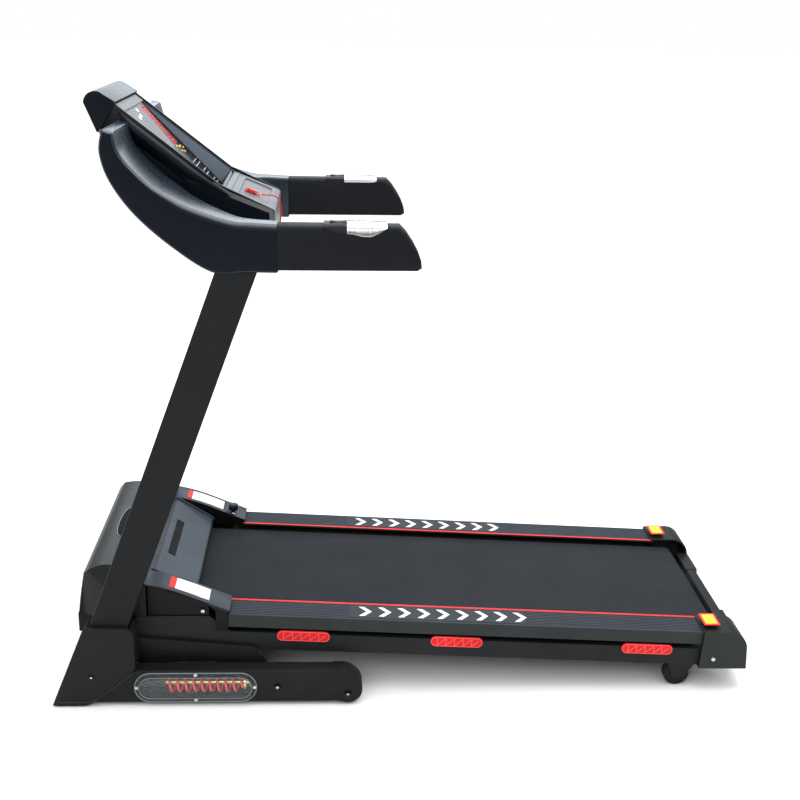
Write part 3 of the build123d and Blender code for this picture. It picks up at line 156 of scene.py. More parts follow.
class Shader:
    """A Principled material with short ways to add object-space patterns."""

    def __init__(self, name, rough, metallic=0.0, coat=0.0, specular=0.5):
        self.mat = bpy.data.materials.new(name)
        self.mat.use_nodes = True
        self.tree = self.mat.node_tree
        self.bsdf = self.tree.nodes["Principled BSDF"]
        self.bsdf.inputs["Roughness"].default_value = rough
        self.bsdf.inputs["Metallic"].default_value = metallic
        self.bsdf.inputs["Coat Weight"].default_value = coat
        self.bsdf.inputs["Coat Roughness"].default_value = COAT_ROUGH
        self.bsdf.inputs["Specular IOR Level"].default_value = specular
        self.coords = self.node("ShaderNodeTexCoord").outputs["Object"]
        self.height = None

    def node(self, kind, **settings):
        made = self.tree.nodes.new(kind)
        for key, value in settings.items():
            setattr(made, key, value)
        return made

    def link(self, out, socket):
        self.tree.links.new(out, socket)

    def mapped(self, scale=(1, 1, 1), turn=(0, 0, 0)):
        mapping = self.node("ShaderNodeMapping")
        mapping.inputs["Scale"].default_value = scale
        mapping.inputs["Rotation"].default_value = turn
        self.link(self.coords, mapping.inputs["Vector"])
        return mapping.outputs["Vector"]

    def noise(self, scale, detail=3.0, stretch=(1, 1, 1)):
        noise = self.node("ShaderNodeTexNoise")
        noise.inputs["Scale"].default_value = scale
        noise.inputs["Detail"].default_value = detail
        self.link(self.mapped(stretch), noise.inputs["Vector"])
        return noise.outputs["Fac"]

    def math(self, operation, a, b=0.5):
        made = self.node("ShaderNodeMath", operation=operation)
        for socket, value in zip(made.inputs, (a, b)):
            if isinstance(value, (int, float)):
                socket.default_value = value
            else:
                self.link(value, socket)
        return made.outputs[0]

    def ramp(self, fac, low, high, start=0.3, end=0.7):
        """Colour from low to high as fac goes from start to end."""
        ramp = self.node("ShaderNodeValToRGB")
        first, last = ramp.color_ramp.elements
        first.position, first.color = start, (*low, 1)
        last.position, last.color = end, (*high, 1)
        self.link(fac, ramp.inputs["Fac"])
        return ramp.outputs["Color"]

    def colour(self, output):
        self.link(output, self.bsdf.inputs["Base Color"])

    def rough(self, fac, low, high):
        spread = self.node("ShaderNodeMapRange")
        spread.inputs["To Min"].default_value = low
        spread.inputs["To Max"].default_value = high
        self.link(fac, spread.inputs["Value"])
        self.link(spread.outputs["Result"], self.bsdf.inputs["Roughness"])

    def bump(self, height, distance, strength=1.0):
        """Adds a relief, height from 0 to 1 over a distance in metres."""
        made = self.node("ShaderNodeBump")
        made.inputs["Distance"].default_value = distance
        made.inputs["Strength"].default_value = strength
        self.link(height, made.inputs["Height"])
        if self.height:
            self.link(self.height, made.inputs["Normal"])
        self.height = made.outputs["Normal"]
        self.link(self.height, self.bsdf.inputs["Normal"])


def scaled(colour, factor):
    return tuple(channel * factor for channel in colour)


def moulded(name, colour, rough=0.4, grain=900.0, depth=0.00006, coat=0.0, metallic=0.0, spread=0.12,
            specular=0.12):
    """Moulded, painted or cast surface: faint cloudy colour, uneven gloss, and grain of some depth."""
    shader = Shader(name, rough, metallic, coat, specular)
    clouds = shader.noise(9.0, 4.0)
    shader.colour(shader.ramp(clouds, scaled(colour, 1 - spread), scaled(colour, 1 + spread)))
    shader.rough(shader.noise(38.0, 3.0), rough - 0.05, rough + 0.07)
    if depth:
        shader.bump(shader.noise(grain, 2.0), depth, 0.6)
    return shader.mat


def turned_metal(name, colour, rough=0.28, stretch=(1, 60, 60)):
    """Turned or drawn metal with fine lines across the stretch directions."""
    shader = Shader(name, rough, 1.0)
    lines = shader.noise(30.0, 4.0, stretch)
    shader.colour(shader.ramp(lines, scaled(colour, 0.8), colour))
    shader.rough(lines, rough - 0.08, rough + 0.1)
    shader.bump(lines, 0.00004, 0.5)
    return shader.mat


def weave_height(shader, pitch, turn=0.0):
    """Crossed threads: 0 in the gaps, 1 on the crowns."""
    split = shader.node("ShaderNodeSeparateXYZ")
    shader.link(shader.mapped(turn=(0, 0, turn)), split.inputs["Vector"])
    waves = []
    for axis in "XY":
        angle = shader.math("MULTIPLY", split.outputs[axis], 2 * math.pi / pitch)
        waves.append(shader.math("SINE", angle))
    return shader.math("MULTIPLY_ADD", shader.math("MULTIPLY", *waves), 0.5)


def belt_material():
    """Running belt: diamond weave with rubber speckle and faint dust."""
    shader = Shader("belt_weave", 0.8, specular=0.08)
    weave = weave_height(shader, 0.0034, math.radians(45))
    speckle = shader.noise(520.0, 4.0)
    dust = shader.noise(7.0, 5.0)
    mix = shader.math("ADD", shader.math("MULTIPLY", weave, 0.45), shader.math("MULTIPLY", speckle, 0.55))
    base = shader.ramp(mix, (0.0075, 0.0086, 0.0103), (0.034, 0.0375, 0.0435), 0.32, 0.74)
    blend = shader.node("ShaderNodeMix", data_type="RGBA", blend_type="MULTIPLY")
    blend.inputs["Factor"].default_value = 1.0
    shader.link(base, blend.inputs["A"])
    shader.link(shader.ramp(dust, (0.86, 0.87, 0.9), (1.08, 1.07, 1.06)), blend.inputs["B"])
    shader.colour(blend.outputs["Result"])
    shader.rough(speckle, 0.7, 0.9)
    shader.bump(weave, 0.00025, 0.6)
    shader.bump(speckle, 0.0001, 0.4)
    return shader.mat


def cord_material():
    """Braided red cord."""
    shader = Shader("cord_braid", 0.6, specular=0.3)
    braid = weave_height(shader, 0.0012, math.radians(45))
    shader.colour(shader.ramp(braid, (0.35, 0.008, 0.012), (0.78, 0.03, 0.035)))
    shader.bump(braid, 0.0002, 0.8)
    return shader.mat


def wood_material():
    """Black waxed board with a faint lengthwise grain."""
    shader = Shader("waxed_board", 0.6, specular=0.08)
    grain = shader.noise(28.0, 5.0, (0.08, 1, 1))
    shader.colour(shader.ramp(grain, (0.007, 0.006, 0.005), (0.016, 0.013, 0.011)))
    shader.bump(grain, 0.0001, 0.5)
    return shader.mat


def clear_material():
    """Clear plastic window, thin enough to look through, with faint flow lines."""
    shader = Shader("clear_window", 0.08, specular=0.3)
    shader.bsdf.inputs["Alpha"].default_value = 0.09
    lines = shader.noise(14.0, 2.0, (0.3, 1, 1))
    shader.colour(shader.ramp(lines, (0.32, 0.35, 0.36), (0.38, 0.41, 0.42)))
    shader.bump(lines, 0.000002, 0.2)
    return shader.mat


def board_material():
    """Circuit board: green lacquer with a pattern of tracks."""
    shader = Shader("circuit_green", 0.35, coat=0.3)
    traces = weave_height(shader, 0.008)
    shader.colour(shader.ramp(traces, (0.004, 0.05, 0.02), (0.01, 0.13, 0.05), 0.45, 0.55))
    shader.bump(traces, 0.0001, 0.4)
    return shader.mat


MATERIALS = {
    "frame_paint": moulded("powder_coat", (0.0078, 0.0084, 0.0094), 0.5, 1400.0, 0.00008),
    "lift_paint": moulded("lift_coat", (0.007, 0.0072, 0.0075), 0.5, 1400.0, 0.00008),
    "cover_plastic": moulded("cover_grain", (0.0088, 0.0098, 0.0098), 0.48, 800.0, 0.00009),
    "clear_window": clear_material(),
    "arm_plastic": moulded("arm_satin", (0.0034, 0.0054, 0.0088), 0.27, depth=0, specular=0.08),
    "handle_foam": moulded("handle_soft", (0.0042, 0.0052, 0.007), 0.55, 1300.0, 0.00008),
    "hood_plastic": moulded("hood_satin", (0.021, 0.0265, 0.0265), 0.36, 1100.0, 0.00004, coat=0.05),
    "wing_plastic": moulded("wing_satin", (0.031, 0.038, 0.052), 0.36, 1100.0, 0.00004, coat=0.04),
    "foot_rubber": moulded("foot_rubber", (0.009, 0.009, 0.009), 0.8, 500.0, 0.0002),
    "wheel_rubber": moulded("wheel_rubber", (0.009, 0.009, 0.0095), 0.5, 500.0, 0.0001),
    "zinc": turned_metal("zinc_plate", (0.72, 0.72, 0.7), 0.3, (1, 1, 1)),
    "damper_body": moulded("damper_gloss", (0.006, 0.006, 0.007), 0.3, 400.0, 0.00003, coat=0.1,
                           specular=0.2),
    "damper_rod": turned_metal("yellow_zinc", (0.82, 0.62, 0.26), 0.26),
    "spring_red": moulded("spring_paint", (0.9, 0.03, 0.035), 0.28, 500.0, 0.00005, coat=0.4, specular=0.4),
    "lift_drive": moulded("cast_housing", (0.02, 0.021, 0.023), 0.55, 260.0, 0.0003),
    "lift_thread": turned_metal("machined_steel", (0.5, 0.5, 0.5), 0.35),
    "board": wood_material(),
    "belt": belt_material(),
    "roller_steel": turned_metal("roller_steel", (0.55, 0.55, 0.55), 0.3, (60, 1, 60)),
    "rail_plastic": moulded("rail_grain", (0.021, 0.0265, 0.036), 0.46, 650.0, 0.00012),
    "stripe_red": moulded("stripe_red", (0.62, 0.02, 0.022), 0.38, 500.0, 0.00004),
    "pad_red": moulded("pad_rubber", (0.56, 0.017, 0.019), 0.5, 420.0, 0.00012),
    "motor_body": moulded("motor_paint", (0.012, 0.012, 0.013), 0.45, 700.0, 0.0001),
    "motor_steel": turned_metal("motor_steel", (0.5, 0.5, 0.52), 0.3, (60, 1, 60)),
    "drive_rubber": moulded("drive_rubber", (0.009, 0.009, 0.009), 0.65, 500.0, 0.0002),
    "controller_case": turned_metal("extruded_case", (0.6, 0.61, 0.62), 0.4, (60, 1, 60)),
    "inlet_plastic": moulded("inlet_black", (0.008, 0.008, 0.008), 0.4, 700.0, 0.0001),
    "knob_plastic": moulded("knob_black", (0.007, 0.007, 0.008), 0.36, 700.0, 0.0001, coat=0.2),
    "pulse_chrome": turned_metal("pulse_chrome", (0.6, 0.6, 0.62), 0.16, (8, 1, 1)),
    "rocker_plastic": moulded("rocker_black", (0.01, 0.01, 0.011), 0.4, 700.0, 0.0001),
    "console_panel": moulded("panel_gloss", (0.006, 0.0065, 0.008), 0.22, 600.0, 0.000005, coat=0.05),
    "circuit_board": board_material(),
    "tray_plastic": moulded("tray_silver", (0.118, 0.121, 0.126), 0.4, 900.0, 0.00003, coat=0.03),
    "console_cap": moulded("cap_grey", (0.044, 0.050, 0.054), 0.34, 1000.0, 0.00002, coat=0.03),
    "key_red": moulded("key_red", (0.78, 0.02, 0.02), 0.3, 500.0, 0.00005, coat=0.2),
    "cord_red": cord_material(),
}
# Painted shade: near-black for the bottom of the hood's slot and the seams between grips and arms
PAINTED_SHADE = moulded("painted_shade_gap", (0.004, 0.004, 0.0045), 0.6, 700.0, 0.00005)
WHITE_INK, RED_INK, YELLOW_INK, PAPER = (
    moulded(name, colour, rough, 900.0, 0.00002, spread=spread) for name, colour, rough, spread in (
        ("white_print", (0.72, 0.73, 0.74), 0.45, 0.04), ("red_print", (0.7, 0.03, 0.02), 0.42, 0.05),
        ("yellow_print", (0.85, 0.50, 0.045), 0.42, 0.05), ("label_white", (0.78, 0.78, 0.77), 0.38, 0.03)))
SLOT_OF = {entry["node"]: entry["material_slot"] for entry in frame["record"]["subparts"]}
for node, obj in NODES.items():
    obj.data.materials.clear()
    obj.data.materials.append(MATERIALS[SLOT_OF[node]])


# ---- Mesh helpers ----
def make_piece(name, bm, body, slot, material=None, smooth=35.0):
    """Object from a bmesh, with its material, riding on a body."""
    mesh = bpy.data.meshes.new(name)
    bmesh.ops.recalc_face_normals(bm, faces=bm.faces)
    bm.to_mesh(mesh)
    bm.free()
    mesh.shade_smooth()
    mesh.set_sharp_from_angle(angle=math.radians(smooth))
    piece = add_object(name, mesh)
    mesh.materials.append(material or MATERIALS[slot])
    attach(piece, body)
    return piece


SHARP_EDGE = math.radians(32)
# Faces that look more to the side than this may have a material of their own, mostly a copy painted lighter or
# darker as light and shade
SIDE_FACING = 0.6


def soften(node, width, segments, side_material=None):
    """Stands in for a CAD node with its sharp edges rounded; its side faces may have their own material,
    mostly a copy of the top's with light or shade painted on.
    """
    source = NODES[node]
    bm = bmesh.new()
    bm.from_mesh(source.data)
    bmesh.ops.remove_doubles(bm, verts=bm.verts, dist=0.00002)
    bmesh.ops.dissolve_limit(bm, angle_limit=math.radians(0.6), verts=bm.verts, edges=bm.edges)
    edges = [edge for edge in bm.edges if len(edge.link_faces) == 2 and edge.calc_face_angle(0) > SHARP_EDGE]
    bmesh.ops.bevel(bm, geom=edges, offset=width, segments=segments, profile=0.6, affect="EDGES",
                    clamp_overlap=True)
    piece = make_piece(f"{node}_soft", bm, source["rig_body"], SLOT_OF[node])
    if side_material:
        piece.data.materials.append(side_material)
        for polygon in piece.data.polygons:
            polygon.material_index = int(abs(polygon.normal.y) > SIDE_FACING)
    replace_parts(piece, node)


def tilted(place, angle, height=0.0):
    """Plane at a place, turned about y, and moved out along its own z."""
    return Matrix.Translation(place) @ Matrix.Rotation(angle, 4, "Y") @ Matrix.Translation((0, 0, height))


def deck_matrix():
    """From the deck's own frame, x along the slope and z above the rail top, to the row frame."""
    return tilted((0, 0, RAIL_TOP), DECK_SLOPE)


def angles(count):
    """Equal steps round a full circle."""
    return [2 * math.pi * k / count for k in range(count)]


def circle(radius, height, count):
    """Points round the z axis."""
    return [Vector((radius * math.cos(angle), radius * math.sin(angle), height)) for angle in angles(count)]


def bridge(bm, loops, closed=True, wrap=False):
    """Faces over loops of points with equal counts, and with wrap back to the first; gives their vertices."""
    rows = [[bm.verts.new(point) for point in loop] for loop in loops]
    for first, second in zip(rows, rows[1:] + rows[:wrap]):
        for k in range(len(first) if closed else len(first) - 1):
            j = (k + 1) % len(first)
            bm.faces.new((first[k], first[j], second[j], second[k]))
    return rows


def close_ends(bm, rows):
    """One face on the first row and one on the last."""
    bm.faces.new(list(reversed(rows[0])))
    bm.faces.new(rows[-1])


def add_solid(bm, loops):
    """Closed solid over loops of points with equal counts, with a flat face at both ends."""
    close_ends(bm, bridge(bm, loops))


def add_fan(bm, row, middle):
    """Triangles from a closed row of vertices to one point."""
    tip = bm.verts.new(middle)
    for k in range(len(row)):
        bm.faces.new((row[k], row[(k + 1) % len(row)], tip))


def add_skin(bm, loops):
    """Closed solid over loops of points with equal counts, with a fan of triangles at both ends."""
    rows = bridge(bm, loops)
    for row in (rows[0], rows[-1]):
        add_fan(bm, row, sum((vert.co for vert in row), Vector()) / len(row))
    return bm


def prism(outline, thickness, matrix, bm=None):
    """Closed slab from an outline in a plane's x and y, raised along its z."""
    bm = bm or bmesh.new()
    add_solid(bm, [[matrix @ Vector((x, y, z)) for x, y in outline] for z in (0, thickness)])
    return bm


def side_slab(outline, y, thickness, bm):
    """Upright slab from an outline in x and z, with its middle at y."""
    turn = Matrix.Rotation(math.pi / 2, 4, "X")
    prism(outline, thickness, Matrix.Translation((0, y + thickness / 2, 0)) @ turn, bm)


def rounded_box(length, width, radius, steps=6, centre=(0, 0)):
    """Outline of a rectangle with rounded corners."""
    points = []
    for corner in range(4):
        cx = centre[0] + (length / 2 - radius) * (1, -1, -1, 1)[corner]
        cy = centre[1] + (width / 2 - radius) * (1, 1, -1, -1)[corner]
        for i in range(steps + 1):
            angle = math.pi / 2 * (corner + i / steps)
            points.append((cx + radius * math.cos(angle), cy + radius * math.sin(angle)))
    return points


def tube_along(bm, points, radius, sides=10, closed=False):
    """Round bar along points, closed to a ring or with its ends capped."""
    rings = []
    count = len(points)
    points = [Vector(p) for p in points]
    normal = None
    for i, point in enumerate(points):
        before = points[i - 1] if (i or closed) else point
        after = points[(i + 1) % count] if (i < count - 1 or closed) else point
        along = (after - before).normalized()
        if normal is None:
            normal = along.orthogonal().normalized()
        normal = (normal - along * normal.dot(along)).normalized()
        binormal = along.cross(normal)
        rings.append([point + radius * (math.cos(angle) * normal + math.sin(angle) * binormal)
                      for angle in angles(sides)])
    rows = bridge(bm, rings, wrap=closed)
    if not closed:
        close_ends(bm, rows)
    return bm


def catmull(points, steps):
    """Smooth line through points."""
    padded = [points[0]] + list(points) + [points[-1]]
    out = []
    for i in range(1, len(padded) - 2):
        p0, p1, p2, p3 = (Vector(p) for p in padded[i - 1:i + 3])
        for k in range(steps):
            t = k / steps
            out.append(0.5 * ((2 * p1) + (p2 - p0) * t + (2 * p0 - 5 * p1 + 4 * p2 - p3) * t * t
                              + (3 * p1 - p0 - 3 * p2 + p3) * t ** 3))
    out.append(Vector(points[-1]))
    return out


make_camera()
make_studio()

# ---- Safety cord ----
# From the underside of the key, hanging, then up over the end of the tray to the clip
CORD_POINTS = [
    (-0.298, -0.115, 1.011), (-0.298, -0.115, 0.995), (-0.2982, -0.112, 0.978), (-0.2975, -0.101, 0.961),
    (-0.298, -0.082, 0.953), (-0.299, -0.062, 0.957), (-0.300, -0.046, 0.974), (-0.3005, -0.037, 0.998),
    (-0.299, -0.033, 1.024), (-0.296, -0.031, 1.050), (-0.2945, -0.031, 1.074), (-0.2985, -0.032, 1.094),
    (-0.311, -0.032, 1.1035), (-0.327, -0.031, 1.1024), (-0.3414, -0.030, 1.1044),
]
CORD_RADIUS, CORD_LENGTH = 0.0015, 0.2832


def make_cord(clip_pieces):
    """The safety cord, riding on the safety key."""
    curve = bpy.data.curves.new("safety_cord_line", "CURVE")
    curve.dimensions = "3D"
    curve.bevel_depth, curve.bevel_resolution, curve.resolution_u = CORD_RADIUS, 4, 14
    curve.use_fill_caps = True
    spline = curve.splines.new("NURBS")
    spline.points.add(len(CORD_POINTS) - 1)
    for point, place in zip(spline.points, CORD_POINTS):
        point.co = (*place, 1)
    spline.order_u = 3
    spline.use_endpoint_u = True
    cord = add_object("safety_cord_line", curve)
    curve.materials.append(MATERIALS["cord_red"])
    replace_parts(cord, "safety_cord")
    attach(cord, "safety_key")


# ---- Arms and handles ----
# Side outlines of an arm in x and z, from its tip to the grip, and its inner face in x and y
ARM_LOWER = [(-0.627, 1.273), (-0.634, 1.230), (-0.617, 1.174), (-0.572, 1.110),
             (-0.502, 1.047), (-0.422, 0.996), (-0.356, 0.996), (-0.290, 0.996)]
ARM_UPPER = [(-0.606, 1.268), (-0.590, 1.222), (-0.544, 1.173), (-0.502, 1.145),
             (-0.460, 1.124), (-0.385, 1.100), (-0.337, 1.096), (-0.290, 1.094)]
ARM_PLAN = [(-0.70, 0.1505), (-0.545, 0.1505), (-0.500, 0.1825), (-0.442, 0.2325),
            (-0.344, 0.2955), (-0.20, 0.3005)]
ARM_OUTER = 0.357
ARM_STEPS = 8
# Corner radii: bottom outside, top outside, top inside, bottom inside
ARM_RADII = (0.010, 0.016, 0.006, 0.006)
# Size of each loop that rounds off the tip, and how far it is lowered
ARM_TIP = ((0.93, 0.0), (0.985, -0.0015), (1.0, -0.004))
# Faces that look more to the side than this keep the plain material; the others get more gloss and a lighter
# colour painted on as highlight
ARM_SIDE_FACING = 0.86
# Painted highlight: a lighter blue-grey for the arms' top and inner faces, with some real extra gloss
ARM_PAINTED_HIGHLIGHT = moulded("arm_painted_highlight", (0.0095, 0.0155, 0.0235), 0.26, depth=0, coat=0.1, specular=0.3, spread=0.05)


def on_line(points, x):
    """Height of a broken line at x."""
    for (x0, y0), (x1, y1) in zip(points, points[1:]):
        if x0 <= x <= x1:
            return y0 + (y1 - y0) * (x - x0) / (x1 - x0)
    return points[-1][1]


def rounded_loop(corners, radii):
    """Closed loop through 3-D corners, each rounded by its own radius."""
    steps = 6
    loop = []
    for i, (corner, radius) in enumerate(zip(corners, radii)):
        to_before = corners[i - 1] - corner
        to_after = corners[(i + 1) % len(corners)] - corner
        start = corner + to_before.normalized() * min(radius, to_before.length * 0.45)
        end = corner + to_after.normalized() * min(radius, to_after.length * 0.45)
        for k in range(steps + 1):
            t = k / steps
            loop.append((1 - t) ** 2 * start + 2 * t * (1 - t) * corner + t * t * end)
    return loop


def shrunk(loop, factor, shift):
    middle = sum(loop, Vector()) / len(loop)
    return [middle + (point - middle) * factor + shift for point in loop]


def make_arm(word, side):
    """One swept arm; its rounded top and inner faces have more gloss than its side, and a lighter colour
    painted on as highlight.
    """
    low = catmull([(x, z, 0) for x, z in ARM_LOWER], ARM_STEPS)
    high = catmull([(x, z, 0) for x, z in ARM_UPPER], ARM_STEPS)
    loops = []
    for bottom, top in zip(low, high):
        corners = [Vector((bottom.x, side * ARM_OUTER, bottom.y)),
                   Vector((top.x, side * ARM_OUTER, top.y)),
                   Vector((top.x, side * on_line(ARM_PLAN, top.x), top.y)),
                   Vector((bottom.x, side * on_line(ARM_PLAN, bottom.x), bottom.y))]
        loops.append(rounded_loop(corners, ARM_RADII))
    tip = [shrunk(loops[0], factor, Vector((0, 0, drop))) for factor, drop in ARM_TIP]
    shell = add_skin(bmesh.new(), tip + loops[1:])
    piece = make_piece(f"arm_shell_{word}", shell, "base", "arm_plastic", smooth=50)
    piece.data.materials.append(ARM_PAINTED_HIGHLIGHT)
    for polygon in piece.data.polygons:
        polygon.material_index = int(side * polygon.normal.y < ARM_SIDE_FACING)
    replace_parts(piece, f"arm_{word}")


# Side outline of a grip in x and z, starting at its seam with the arm
GRIP_OUTLINE = [(-0.2893, 1.0005), (-0.006, 1.003), (0.0025, 1.0085), (0.0008, 1.0235), (-0.0055, 1.040),
                (-0.0165, 1.0600), (-0.031, 1.081), (-0.0445, 1.0945), (-0.2893, 1.0935)]
GRIP_INNER = 0.300
GRIP_MIDDLE = Vector((-0.15, 0, 1.048))
GRIP_SEAM_END = -0.28
# Distance from either face of a grip, and how far the outline is drawn in there
GRIP_CROWN = ((0.0, 0.009), (0.002, 0.004), (0.007, 0.001), (0.013, 0.0))
GAP_X, GAP_RADIUS = -0.2897, 0.006
GAP_CORNERS = ((0.3015, 0.998), (0.3555, 0.998), (0.3555, 1.0925), (0.3015, 1.0925))


def grip_loop(y, inset):
    """The grip's outline at one y, drawn in by the inset except at the seam."""
    loop = []
    for x, z in GRIP_OUTLINE:
        reach = 0 if x < GRIP_SEAM_END else min(inset, abs(x - GRIP_MIDDLE.x))
        pull_x = reach if x < GRIP_MIDDLE.x else -reach
        pull_z = inset if z < GRIP_MIDDLE.z else -inset
        loop.append((x + pull_x, y, z + pull_z))
    return loop


def make_handles():
    """Both grips with softly crowned sides, and painted shade in the gap where each meets its arm."""
    grips, gaps = bmesh.new(), bmesh.new()
    for side in (-1, 1):
        levels = [(GRIP_INNER + step, inset) for step, inset in GRIP_CROWN]
        levels += [(ARM_OUTER - step, inset) for step, inset in reversed(GRIP_CROWN)]
        add_solid(grips, [grip_loop(side * y, inset) for y, inset in levels])
        loop = rounded_loop([Vector((GAP_X, side * y, z)) for y, z in GAP_CORNERS], (GAP_RADIUS,) * 4)
        add_solid(gaps, [[point + Vector((dx, 0, 0)) for point in loop] for dx in (-0.001, 0.0012)])
    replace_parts(make_piece("grips", grips, "base", "handle_foam", smooth=40), "handles")
    make_piece("grip_gaps", gaps, "base", "handle_foam", PAINTED_SHADE)


# Pulse pads: their ends along the grip, the joint between metal and dark part, and the rocker key's hole
PULSE_FRONT, PULSE_SPLIT, PULSE_REAR = -0.197, -0.1505, -0.070
PULSE_GAP, PULSE_THICK, PULSE_CROWN = 0.0006, 0.0012, 0.0022
PULSE_MIDDLE_Y = 0.3285
ROCKER_FRONT, ROCKER_REAR, ROCKER_HALF = -0.1855, -0.1505, 0.0085
# How far a pad laps down the grip's side, from its front (0) to its rear (1)
PULSE_LAP = [(0.0, 0.003), (0.06, 0.008), (0.2, 0.0145), (0.32, 0.0155), (0.45, 0.0165), (0.62, 0.0215),
             (0.75, 0.0215), (0.9, 0.0125), (1.0, 0.003)]


def pulse_section(x, hole):
    """Cross-section of a pad at x, in y and z, with half a hole's width on either side of its middle."""
    along = (x - PULSE_FRONT) / (PULSE_REAR - PULSE_FRONT)
    lap = on_line(PULSE_LAP, along)
    crown = PULSE_CROWN * math.sin(math.pi * along)
    return [(0.3005, 1.0905 - 0.4 * lap), (0.3002, 1.0935), (0.3035, 1.0963), (0.311, 1.0972 + 0.6 * crown),
            (PULSE_MIDDLE_Y - hole, 1.0975 + crown), (PULSE_MIDDLE_Y + hole, 1.0975 + crown),
            (0.346, 1.0972 + 0.6 * crown), (0.3535, 1.0955), (0.3578, 1.0915), (0.3583, 1.0955 - lap)]


def make_pulse_pads():
    """Wavy metal pads over the grips' top edges, with a dark part in front round the rocker keys."""
    steps = 24
    for name, start, end, slot in (("pulse_metal", PULSE_SPLIT, PULSE_REAR, "pulse_chrome"),
                                   ("pulse_front", PULSE_FRONT, PULSE_SPLIT - PULSE_GAP, "rocker_plastic")):
        bm = bmesh.new()
        for side in (-1, 1):
            rows = []
            for i in range(steps + 1):
                x = start + (end - start) * i / steps
                hole = ROCKER_HALF if name == "pulse_front" and ROCKER_FRONT < x < ROCKER_REAR else 0.0
                rows.append([(x, side * y, z) for y, z in pulse_section(x, hole)])
            bridge(bm, rows, closed=False)
        bmesh.ops.remove_doubles(bm, verts=bm.verts, dist=0.00001)
        bmesh.ops.recalc_face_normals(bm, faces=bm.faces)
        bmesh.ops.solidify(bm, geom=bm.faces[:], thickness=PULSE_THICK)
        piece = make_piece(name, bm, "base", slot, smooth=50)
        if name == "pulse_metal":
            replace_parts(piece, "pulse_plates")


# ---- Console ----
PANEL_PLACE, PANEL_TILT = (-0.626, 0, 1.293), math.atan2(0.164, 0.215)
TRAY_PLACE, TRAY_TILT = (-0.398, 0, 1.126), math.atan2(0.036, 0.090)
# Where the display's floor starts below the face, and how steeply it sinks from there
FLOOR_START, FLOOR_SINK = (0.008, 0, -0.002), math.atan2(0.038, 0.254)
FIELD_THICK, INK_THICK = 0.0005, 0.0003
INK_LEVEL = 0.0008
GLASS = moulded("display_glass", (0.165, 0.17, 0.178), 0.45, 600.0, 0.000005, spread=0.16, specular=0.05)


def console_matrix(height=0.0):
    """From the console's face, x down the slope and z out of it, to the row frame."""
    return tilted(PANEL_PLACE, PANEL_TILT, height)


def tray_matrix(height=0.0):
    return tilted(TRAY_PLACE, TRAY_TILT, height)


def display_matrix(height=0.0):
    """From the sunk floor of the display, x down its slope from its upper end, to the row frame."""
    return console_matrix() @ tilted(FLOOR_START, FLOOR_SINK, height)


def make_plates():
    """Flat plates on the console: the display's pale window and grey field, and the strips round them."""
    grey = moulded("display_grey", (0.06, 0.062, 0.067), 0.3, 600.0, 0.000005, specular=0.08)
    ramp = console_matrix() @ tilted((0.2705, 0, 0.0003), -math.atan2(0.0050, 0.0120))
    for name, thickness, place, slot, material, outline in (
            ("display_window", FIELD_THICK, display_matrix(), "console_panel", GLASS,
             [(0.001, -0.138), (0.122, -0.138), (0.122, 0.030), (0.060, 0.066), (0.001, 0.094)]),
            ("display_grey_field", FIELD_THICK, display_matrix(), "console_panel", grey,
             [(0.1225, -0.138), (0.226, -0.138), (0.212, 0.046), (0.1225, 0.030)]),
            ("display_apron", 0.0012, console_matrix(0.0006), "console_panel", GLASS,
             [(-0.0135, -0.1432), (0.0095, -0.1432), (0.0095, 0.1432), (-0.0135, 0.1432)]),
            ("tray_apron", 0.0010, ramp, "tray_plastic", None,
             [(0, -0.1436), (0.0130, -0.1436), (0.0130, 0.1436), (0, 0.1436)]),
            ("near_strip", 0.0010, console_matrix(0.0008), "tray_plastic", None,
             [(0.002, -0.1485), (0.270, -0.1490), (0.270, -0.1396), (0.002, -0.1440)])):
        make_piece(name, prism(outline, thickness, place), "base", slot, material)


def add_marks(bm, size, places, matrix):
    """Thin bars of one length, width and corner radius."""
    for place in places:
        prism(rounded_box(*size, 3, place), INK_THICK, matrix, bm)


def make_display_marks():
    """Lit figures and lamps, and blank marks in place of the printed keys."""
    raised = display_matrix(INK_LEVEL)
    figures = bmesh.new()
    for row in range(5):
        x = 0.019 + 0.0225 * row
        for y in (0.079 - 0.004 * row, 0.103 - 0.004 * row):
            add_marks(figures, (0.0160, 0.0030, 0.0012), ((x, y - 0.0075), (x, y + 0.0075)), raised)
            add_marks(figures, (0.0026, 0.0125, 0.0011), ((x - 0.0085, y), (x, y), (x + 0.0085, y)), raised)
    make_piece("display_figures", figures, "base", "console_panel", RED_INK)
    lamps = bmesh.new()
    add_marks(lamps, (0.0042, 0.013, 0.0012), ((0.125, 0.052), (0.130, 0.072), (0.130, 0.090),
                                               (0.137, 0.104), (0.141, 0.064), (0.146, 0.084)), raised)
    make_piece("display_lamps", lamps, "base", "console_panel", YELLOW_INK)
    keys = bmesh.new()
    for row, x in enumerate((0.176, 0.187, 0.206, 0.217, 0.236, 0.246)):
        for column in range(4):
            width = 0.012 if (row + column) % 3 else 0.006
            add_marks(keys, (0.0022, width, 0.0009), [(x, 0.062 + 0.0205 * column)], display_matrix(INK_THICK))
    for place in ((0.012, 0.012), (0.026, -0.004), (0.030, -0.030)):
        prism(rounded_box(0.0085, 0.018, 0.002, 4, place), INK_THICK, display_matrix(FIELD_THICK), keys)
    make_piece("key_marks", keys, "base", "console_panel", WHITE_INK)


